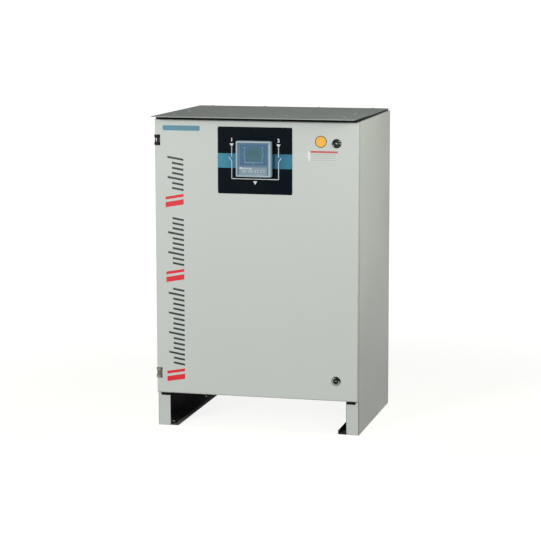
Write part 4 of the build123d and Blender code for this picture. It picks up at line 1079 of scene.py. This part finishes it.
class ControllerOperator(bpy.types.Operator):
    """Draws the controller's screen and key field, fits a pale rail down their right as a painted
    highlight, and fits its rear sockets
    """

    bl_idname = "transfer_switch.controller"
    bl_label = "Controller"

    def execute(self, context):
        ink("screen_line", paint(136, 174, 194), 0.2)
        ink("screen_digit", paint(0, 62, 66), 0.2)
        ink("key_field", paint(124, 148, 161), 0.35)
        ink("key_sign", paint(70, 82, 94), 0.4)
        moulded("socket_green", paint(52, 120, 74), 0.45)
        self.screen()
        self.key_field()
        self.rear_sockets()
        return {"FINISHED"}

    def screen(self):
        """Two sources that join at the bottom, and three figures in the middle."""
        glass = screen_low.y
        middle = (screen_low.x + screen_high.x) / 2
        half = (screen_high.x - screen_low.x) * 0.32  # from the middle to each source
        bus = screen_low.z + 8 * MM
        source, contact = bus + 42 * MM, bus + 26 * MM
        blade_tip, blade_root = bus + 25.5 * MM, bus + 17.5 * MM
        thin, thick, reach = 1.1 * MM, 1.4 * MM, 4 * MM
        lines = []
        for side in (-1, 1):
            x = middle + side * half
            lines.append(stroke([(x, source), (x, contact)], thin))
            lines.append(stroke([(x + side * reach, blade_tip), (x, blade_root), (x, bus)], thin))
            top = source + 0.5 * MM
            lines.append(stroke([(x - reach, top), (x + reach, top)], thin))
        lines.append(stroke([(middle - half, bus), (middle + half, bus)], thick))
        lines.append(stroke([(middle, bus), (middle, bus - 5 * MM)], thick))
        printed("screen_diagram", lines, glass, "screen_line")
        self.figures(middle, bus + 19 * MM, glass)

    def figures(self, middle, low, glass):
        """The reading 400 in seven-segment figures."""
        width, height, bar, gap = 8 * MM, 14 * MM, 1.9 * MM, 2.8 * MM
        lit = {"4": "fgbc", "0": "abcdef"}
        outlines = []
        for place, digit in enumerate("400"):
            left = middle + (place - 1) * (width + gap) - width / 2
            right = left + width
            waist, top = low + height / 2, low + height
            segments = {
                "a": rectangle(left, right, top - bar, top),
                "b": rectangle(right - bar, right, waist, top),
                "c": rectangle(right - bar, right, low, waist),
                "d": rectangle(left, right, low, low + bar),
                "e": rectangle(left, left + bar, low, waist),
                "f": rectangle(left, left + bar, waist, top),
                "g": rectangle(left, right, waist - bar / 2, waist + bar / 2),
            }
            outlines += [segments[letter] for letter in lit[digit]]
        printed("screen_figures", outlines, glass, "screen_digit")

    def key_field(self):
        """Pale film round the keys, and what is printed and fitted next to it."""
        keys = [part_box(f"controller_key_{number}") for number in range(1, 5)]
        face = screen_high.y
        gap = 0.5 * MM
        key_low, key_high = keys[0][0].z - gap, keys[0][1].z + gap
        low, high = key_low - 8 * MM, key_high + 5.5 * MM
        left, right = screen_low.x - 2.2 * MM, screen_high.x - 1 * MM
        cuts = [left]
        for key in keys:
            cuts += [key[0].x - gap, key[1].x + gap]
        cuts.append(right)
        tiles = [rectangle(left, right, low, key_low), rectangle(left, right, key_high, high)]
        for start, end in zip(cuts[::2], cuts[1::2]):
            tiles.append(rectangle(start, end, key_low, key_high))
        printed("key_field", tiles, face, "key_field")
        self.patches(face, left, high)
        self.side_rail(face, low)
        self.key_signs(keys)

    def patches(self, face, left, high):
        """One tall and three low blank patches at the top left of the key field."""
        ink("key_field_patch", paint(214, 222, 226), 0.35)
        outlines = [rounded(left + 1 * MM, left + 10 * MM, high - 5 * MM, high - 0.5 * MM, 0.8 * MM, 3)]
        for i in range(3):
            start = left + 12.5 * MM + 8.5 * MM * i
            patch = rounded(start, start + 6.8 * MM, high - 4.2 * MM, high - 1.6 * MM, 0.5 * MM, 2)
            outlines.append(patch)
        printed("key_field_patch", outlines, face, "key_field_patch",
                lift=PRINT_RISE)

    def side_rail(self, face, low):
        """Pale rail down the right of the screen and the keys: the painted highlight of the clear
        cover's right edge.
        """
        # pale blue standing in for the cover's highlight
        moulded("rail_highlight", paint(148, 196, 212), 0.4, specular=0.3)
        left = screen_high.x + 3.5 * MM
        right = left + 4.8 * MM

        def fill(bm):
            block(bm, (left, face - 0.8 * MM, low), (right, face + 0.5 * MM, screen_high.z), 0.3 * MM)

        piece("controller_highlight_rail", fill, "door", "rail_highlight")

    def key_signs(self, keys):
        """An arrow to each side, a dot and a square."""
        tip, base, half = 2.2 * MM, 1.5 * MM, 2.1 * MM
        for number, (low, high) in enumerate(keys, start=1):
            x, z = front_centre(low, high)
            signs = {
                1: [(x - tip, z), (x + base, z - tip), (x + base, z + tip)],
                2: [(x + tip, z), (x - base, z - tip), (x - base, z + tip)],
                3: disc(x, z, half, 20),
                4: rounded(x - half, x + half, z - half, z + half, 0.4 * MM, 2),
            }
            printed(f"key_sign_{number}", [signs[number]], low.y, "key_sign", f"key_{number}")

    def rear_sockets(self):
        """Two rows of plug-in terminals on the back of the controller."""
        low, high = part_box("controller_body")
        rear = high.y
        inset, half_height = 18 * MM, 7 * MM
        count, pitch, slit = 10, 6.5 * MM, 0.4 * MM
        start = (low.x + high.x) / 2 - pitch * count / 2
        for row, z in (("upper", high.z - inset), ("lower", low.z + inset)):

            def fill(bm, z=z):
                for i in range(count):
                    x = start + i * pitch
                    block(bm, (x, rear - 1 * MM, z - half_height),
                          (x + pitch - slit, rear + 11 * MM, z + half_height), 0.6 * MM)

            piece(f"controller_sockets_{row}", fill, "door", "socket_green")


class DoorHardwareOperator(bpy.types.Operator):
    """Adds the upper hinge's painted highlight, lock marks, key pins and the lower lock's dark crescent,
    and black pieces as painted shade under the roof and painted shadow on the legs
    """

    bl_idname = "transfer_switch.door_hardware"
    bl_label = "Door hardware"

    def execute(self, context):
        ink("mark_white", paint(196, 204, 200), 0.35)
        # bright metal for the upper hinge's painted highlight
        plated("highlight_steel", paint(176, 180, 176), 0.35, 0.6)
        plated("pin_steel", paint(118, 130, 128), 0.35)
        plated("pin_worn", paint(112, 116, 108), 0.4)
        # flat black for the painted shade under the roof and on the legs, and for the lower lock's
        # crescent
        moulded("flat_black", paint(8, 9, 9), 0.75, specular=0.15)
        self.hinge_seam()
        self.key_pins()
        self.position_marks()
        self.dust_lip()
        self.roof_strip()
        self.rest_pads()
        return {"FINISHED"}

    def hinge_seam(self):
        """Bright strip on the front of the upper knuckle: its painted highlight."""
        x, z = front_centre(*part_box("upper_hinge_bracket"))
        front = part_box("hinge_leaves")[0].y

        def fill(bm):
            block(bm, (x - 1.3 * MM, front - 0.3 * MM, z - 5 * MM),
                  (x + 0.4 * MM, front + 1.2 * MM, z + 5 * MM), 0.3 * MM)

        piece("upper_hinge_highlight", fill, "door", "highlight_steel")

    def key_pins(self):
        """Round pin and double bit in the middle of each lock, for its key."""
        for place, steel in (("upper", "pin_steel"), ("lower", "pin_worn")):
            low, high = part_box(f"{place}_lock_barrel")
            x, z = front_centre(low, high)
            bits = rounded(x - 4.2 * MM, x + 4.2 * MM, z - 0.8 * MM, z + 0.8 * MM, 0.3 * MM, 2)
            pin = disc(x, z, 2.1 * MM, 24)

            def fill(bm, bits=bits, pin=pin, front=low.y):
                prism(bm, bits, front - 0.3 * MM, front + 0.2 * MM)
                prism(bm, pin, front - 0.5 * MM, front + 0.2 * MM)

            piece(f"{place}_lock_key_pin", fill, f"{place}_lock", steel)

    def position_marks(self):
        """Open and closed marks on the flange of the upper lock."""
        low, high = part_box("upper_lock_housing")
        centre = Vector(front_centre(low, high))
        inner, outer = 8.8 * MM, 12.4 * MM
        outlines = []
        for degrees in (0, 40, 215):
            along = Vector((cos(radians(degrees)), sin(radians(degrees))))
            ends = [tuple(centre + along * radius) for radius in (inner, outer)]
            outlines.append(stroke(ends, 2 * MM))
        printed("upper_lock_marks", outlines, low.y, "mark_white")

    def dust_lip(self):
        """Black crescent round the upper right of the lower lock, thickest in its middle."""
        low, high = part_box("lower_lock_housing")
        x, z = front_centre(low, high)
        radius = (high.x - low.x) / 2
        thickest = 5.8 * MM
        start, sweep, steps = -25, 155, 24
        outer, inner = [], []
        for i in range(steps + 1):
            angle = radians(start + sweep * i / steps)
            reach = radius - thickest * sin(pi * i / steps)
            outer.append((x + radius * cos(angle), z + radius * sin(angle)))
            inner.append((x + reach * cos(angle), z + reach * sin(angle)))

        def fill(bm):
            prism(bm, outer + inner[-2:0:-1], low.y - 0.4 * MM, low.y + 1.1 * MM)

        piece("lower_lock_dark_crescent", fill, "door", "flat_black")

    def roof_strip(self):
        """Black strip that fills the wedge-shaped gap between the cabinet and its roof plate: painted
        shade for the dark gap.
        """
        low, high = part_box("roof_plate")
        cabinet_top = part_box("left_side")[1].z
        inset, width, edge = 1.5 * MM, 3 * MM, 0.4 * MM
        left, right = low.x + inset, high.x - inset
        front, rear = door_low.y + 0.5 * MM, high.y - inset
        over_door = door_high.z + 0.6 * MM
        slope = roof_slope()

        def fill(bm):
            block(bm, (left, front, over_door), (right, front + width, low.z), edge)
            for x in (left, right - width):
                block(bm, (x, front + width, cabinet_top), (x + width, rear, low.z), edge)
            block(bm, (left + width, rear - width, cabinet_top), (right - width, rear, low.z), edge)
            for vertex in bm.verts:
                share = (vertex.co.z - cabinet_top) / (low.z - cabinet_top)
                vertex.co.z += max(0.0, share) * slope * (high.y - vertex.co.y)

        piece("roof_gap_shade_strip", fill, "cabinet", "flat_black")

    def rest_pads(self):
        """Black pads at the top of the legs under the door: painted shadow of the door's lower edge on
        the legs.
        """
        flange = frame["nodes"]["left_side"].data
        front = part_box("left_side")[0].y
        foot = 0.05
        flange_edge = max(v.co.x for v in flange.vertices if v.co.y < front + MM and v.co.z < foot)
        inner, outer = flange_edge - 0.4 * MM, door_low.x + 8.5 * MM
        back = door_high.y + 0.4 * MM
        low, high = door_low.z - 10.5 * MM, door_low.z + 10 * MM

        def fill(bm):
            for side in (-1, 1):
                left, right = sorted((side * inner, side * outer))
                block(bm, (left, back, low), (right, front + 0.1 * MM, high), 0.5 * MM)

        piece("door_shadow_pads", fill, "cabinet", "flat_black")


class FastenerOperator(bpy.types.Operator):
    """Fits cross-head screws, rivets and earth studs"""

    bl_idname = "transfer_switch.fasteners"
    bl_label = "Small fasteners"

    def execute(self, context):
        rng = random.Random(settings().seed)
        self.roof(rng)
        self.back()
        self.gland_plate(rng)
        self.switch_covers(rng)
        self.earth_studs()
        return {"FINISHED"}

    def roof(self, rng):
        """Screws of the roof plate, in place of the plain ones."""
        height = 2.4 * MM
        upward = Vector((0, roof_slope(), 1)).normalized()
        cell = 0.04  # wider than a head, narrower than the spacing of the screws
        screws = {}
        for vertex in frame["nodes"]["roof_screws"].data.vertices:
            key = (round(vertex.co.x / cell), round(vertex.co.y / cell))
            screws.setdefault(key, []).append(vertex.co.copy())
        spots = []
        for corners in screws.values():
            top = max(corner.dot(upward) for corner in corners)
            face = [corner for corner in corners if corner.dot(upward) > top - 0.1 * MM]
            centre = sum(face, Vector()) / len(face)
            spots.append((centre - upward * height, upward, rng.uniform(0, tau)))
        head = cross_head("roof_screw_head", 5.5 * MM, height, 1.6 * MM)
        plated("weathered_zinc", paint(140, 146, 142), 0.6)
        made = placed_copies("roof_screw_heads", head, spots, "cabinet", "weathered_zinc")
        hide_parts("roof_screws")

    def back(self):
        """Flush rivets that hold the back panel to the rear flanges."""
        low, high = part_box("back_panel")
        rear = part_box("left_side")[1].y
        rise, dimple = 0.3 * MM, 0.1 * MM
        profile = [(3.6 * MM, 0), (3.4 * MM, 0.2 * MM), (2.6 * MM, rise), (1.2 * MM, rise),
                   (1 * MM, dimple), (0, dimple)]
        side_inset, end_inset = 0.0115, 0.03
        count = 7
        pitch = (high.z - low.z - 2 * end_inset) / (count - 1)

        def fill(bm):
            for x in (low.x + side_inset, high.x - side_inset):
                for i in range(count):
                    turned(bm, profile, (x, rear, low.z + end_inset + pitch * i), (0, 1, 0), 20)

        piece("back_rivets", fill, "cabinet", "zinc_fasteners")

    def gland_plate(self, rng):
        """Screws along both long edges of the gland plate, from below."""
        low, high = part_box("gland_plate")
        head = cross_head("gland_screw_head", 4.5 * MM, 2.6 * MM, 1.4 * MM)
        inset = 9 * MM
        spots = []
        for x in (low.x + inset, (low.x + high.x) / 2, high.x - inset):
            for y in (low.y + inset, high.y - inset):
                spots.append(((x, y, low.z), (0, 0, -1), rng.uniform(0, tau)))
        placed_copies("gland_plate_screws", head, spots, "cabinet", "zinc_fasteners")

    def switch_covers(self, rng):
        """A screw at each corner of the switch's clear cover and of the drive's cover."""
        head = cross_head("cover_screw_head", 3.6 * MM, 2.2 * MM, 1.2 * MM)
        inset = 7 * MM
        spots = []
        for node in ("switch_cover", "drive_cover"):
            low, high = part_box(node)
            if node == "drive_cover":  # the shutter's rails stand proud of its face
                low.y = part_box("switch_cover")[0].y
            for x in (low.x + inset, high.x - inset):
                for z in (low.z + inset, high.z - inset):
                    spots.append(((x, low.y, z), (0, -1, 0), rng.uniform(0, tau)))
        placed_copies("cover_screws", head, spots, "cabinet", "zinc_fasteners")

    def earth_studs(self):
        """Earthing studs with washer and nut, inside the door and on the mounting plate."""
        corner, chamfer, thick = 6.5 * MM, 0.5 * MM, 5 * MM
        thread, tip = 3 * MM, 11.2 * MM
        washer = [(8 * MM, 0), (8 * MM, 1 * MM), (4 * MM, 1 * MM)]
        nut = [(5.2 * MM, 0), (5.2 * MM, 0.4 * MM), (corner - chamfer, chamfer),
               (corner, 1.1 * MM), (corner, 4.4 * MM), (corner - chamfer, thick), (thread, thick)]
        end = [(thread, thick), (thread, tip - 0.7 * MM), (2.4 * MM, tip), (0, tip)]
        on_door = (door_low.x + 0.060, door_low.y + 0.002, door_low.z + 0.085)
        plate_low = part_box("mounting_plate")[0]
        on_plate = (plate_low.x + 0.030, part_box("din_rail")[1].y, plate_low.z + 0.035)
        for name, place, axis, body in (
            ("door_earth_stud", on_door, (0, 1, 0), "door"),
            ("plate_earth_stud", on_plate, (0, -1, 0), "cabinet"),
        ):

            def fill(bm, place=place, axis=axis):
                turned(bm, washer, place, axis, 28)
                lifted = Vector(place) + Vector(axis) * MM
                turned(bm, nut, lifted, axis, 6)
                turned(bm, end, lifted, axis, 18)

            piece(name, fill, body, "zinc_fasteners", 25)


class SwitchOperator(bpy.types.Operator):
    """Numbers the dial and the poles of the changeover switch"""

    bl_idname = "transfer_switch.switch_unit"
    bl_label = "Changeover switch"

    def execute(self, context):
        ink("dial_ink", paint(24, 28, 34))
        ink("number_strip", paint(220, 222, 220))
        self.dial()
        self.poles()
        return {"FINISHED"}

    def dial(self):
        """0 shows at rest; 1 and 2 come up in the cover's window at the ends of the turn."""
        low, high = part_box("position_dial")
        x, z = front_centre(low, high)
        window_rise, size = 15.5 * MM, 5.8 * MM
        for number, turn in (("0", 0.0), ("1", pi / 2), ("2", -pi / 2)):
            figure(f"dial_number_{number}", number, x, z + window_rise, size, low.y, "dial_ink",
                   "operating_shaft", turn=turn, pivot=(x, z))

    def poles(self):
        """A pale strip on the clear cover with a number over each pole."""
        low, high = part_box("switch_cover")
        count = 4
        pitch = (high.x - low.x) / count
        strip_low, strip_high = high.z - 21 * MM, high.z - 11 * MM
        strip = rounded(low.x + 12 * MM, high.x - 12 * MM, strip_low, strip_high, MM, 3)
        printed("pole_number_strip", [strip], low.y, "number_strip", "cabinet")
        middle, size = (strip_low + strip_high) / 2, 6.2 * MM
        for number in range(1, count + 1):
            figure(f"pole_number_{number}", str(number), low.x + pitch * (number - 0.5), middle,
                   size, low.y, "dial_ink", "cabinet", lift=PRINT_RISE)


class RailDeviceOperator(bpy.types.Operator):
    """Adds the terminal screws and numbers, and the lamps of the fuse holders"""

    bl_idname = "transfer_switch.rail_devices"
    bl_label = "Rail devices"

    def execute(self, context):
        low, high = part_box("terminal_blocks")
        count = 10
        slit = 0.4 * MM  # between two blocks
        pitch = (high.x - low.x + slit) / count
        centres = [low.x + pitch * (i + 0.475) for i in range(count)]
        self.screws(centres, low, high)
        self.markers(centres, low, high)
        self.fuse_lamps()
        return {"FINISHED"}

    def screws(self, centres, low, high):
        """Clamping screws in the steps of the terminal blocks."""
        head = cross_head("terminal_screw_head", 2.3 * MM, 1.2 * MM, 0.8 * MM)
        rise = (high.z - low.z) / 2 * 0.7
        middle = (high.z + low.z) / 2
        step = low.y + (high.y - low.y) * 0.11
        spots = []
        for x in centres:
            turn = 0.4 + x * 90  # so that no two slots line up
            for side in (-1, 1):
                spots.append(((x, step, middle + side * rise), (0, -1, side), turn))
        placed_copies("terminal_screws", head, spots, "cabinet", "zinc_fasteners")

    def markers(self, centres, low, high):
        """A pale numbered marker on each terminal block."""
        middle = (high.z + low.z) / 2
        half_width, half_height, size = 3.1 * MM, 5 * MM, 4.6 * MM
        strips = [rectangle(x - half_width, x + half_width, middle - half_height, middle + half_height)
                  for x in centres]
        printed("terminal_markers", strips, low.y, "number_strip", "cabinet")
        for number, x in enumerate(centres, start=1):
            figure(f"terminal_number_{number}", str(number), x, middle, size, low.y, "dial_ink",
                   "cabinet", lift=PRINT_RISE)

    def fuse_lamps(self):
        """Lens of the blown-fuse lamp on each lever."""
        moulded("lamp_red", paint(170, 30, 30), 0.15)
        radius = 2.4 * MM
        lens = [(radius, -0.4 * MM), (radius, 0.6 * MM), (1.8 * MM, 1.4 * MM), (0, 1.7 * MM)]
        for number in (1, 2):
            low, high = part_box(f"fuse_lever_{number}")
            place = ((low.x + high.x) / 2, low.y + 4 * MM, low.z + 18 * MM)

            def fill(bm, place=place):
                turned(bm, lens, place, (0, -1, 0), 20)

            piece(f"fuse_lamp_{number}", fill, f"fuse_lever_{number}", "lamp_red")


class CabinetPanel(bpy.types.Panel):
    """Steps of the cabinet's finish, in order"""

    bl_idname = "VIEW3D_PT_transfer_switch"
    bl_label = "Transfer switch cabinet"
    bl_space_type = "VIEW_3D"
    bl_region_type = "UI"
    bl_category = "Cabinet"

    def draw(self, context):
        for step in STEPS:
            self.layout.operator(step.bl_idname)


SETTINGS = (CabinetColours, FasciaPrint, DoorMarks, StudioSetup, CabinetSettings)
STEPS = (StageOperator, CoatOperator, MetalOperator, MouldingOperator, FasciaOperator,
         DoorMarksOperator, LabelOperator, ControllerOperator, DoorHardwareOperator,
         FastenerOperator, SwitchOperator, RailDeviceOperator)


def register():
    for cls in (*SETTINGS, *STEPS, CabinetPanel):
        bpy.utils.register_class(cls)
    bpy.types.Scene.transfer_switch = PointerProperty(type=CabinetSettings)


def unregister():
    del bpy.types.Scene.transfer_switch
    for cls in reversed((*SETTINGS, *STEPS, CabinetPanel)):
        bpy.utils.unregister_class(cls)


def main():
    register()
    for step in STEPS:
        group, name = step.bl_idname.split(".")
        getattr(getattr(bpy.ops, group), name)()


if __name__ == "__main__":
    main()
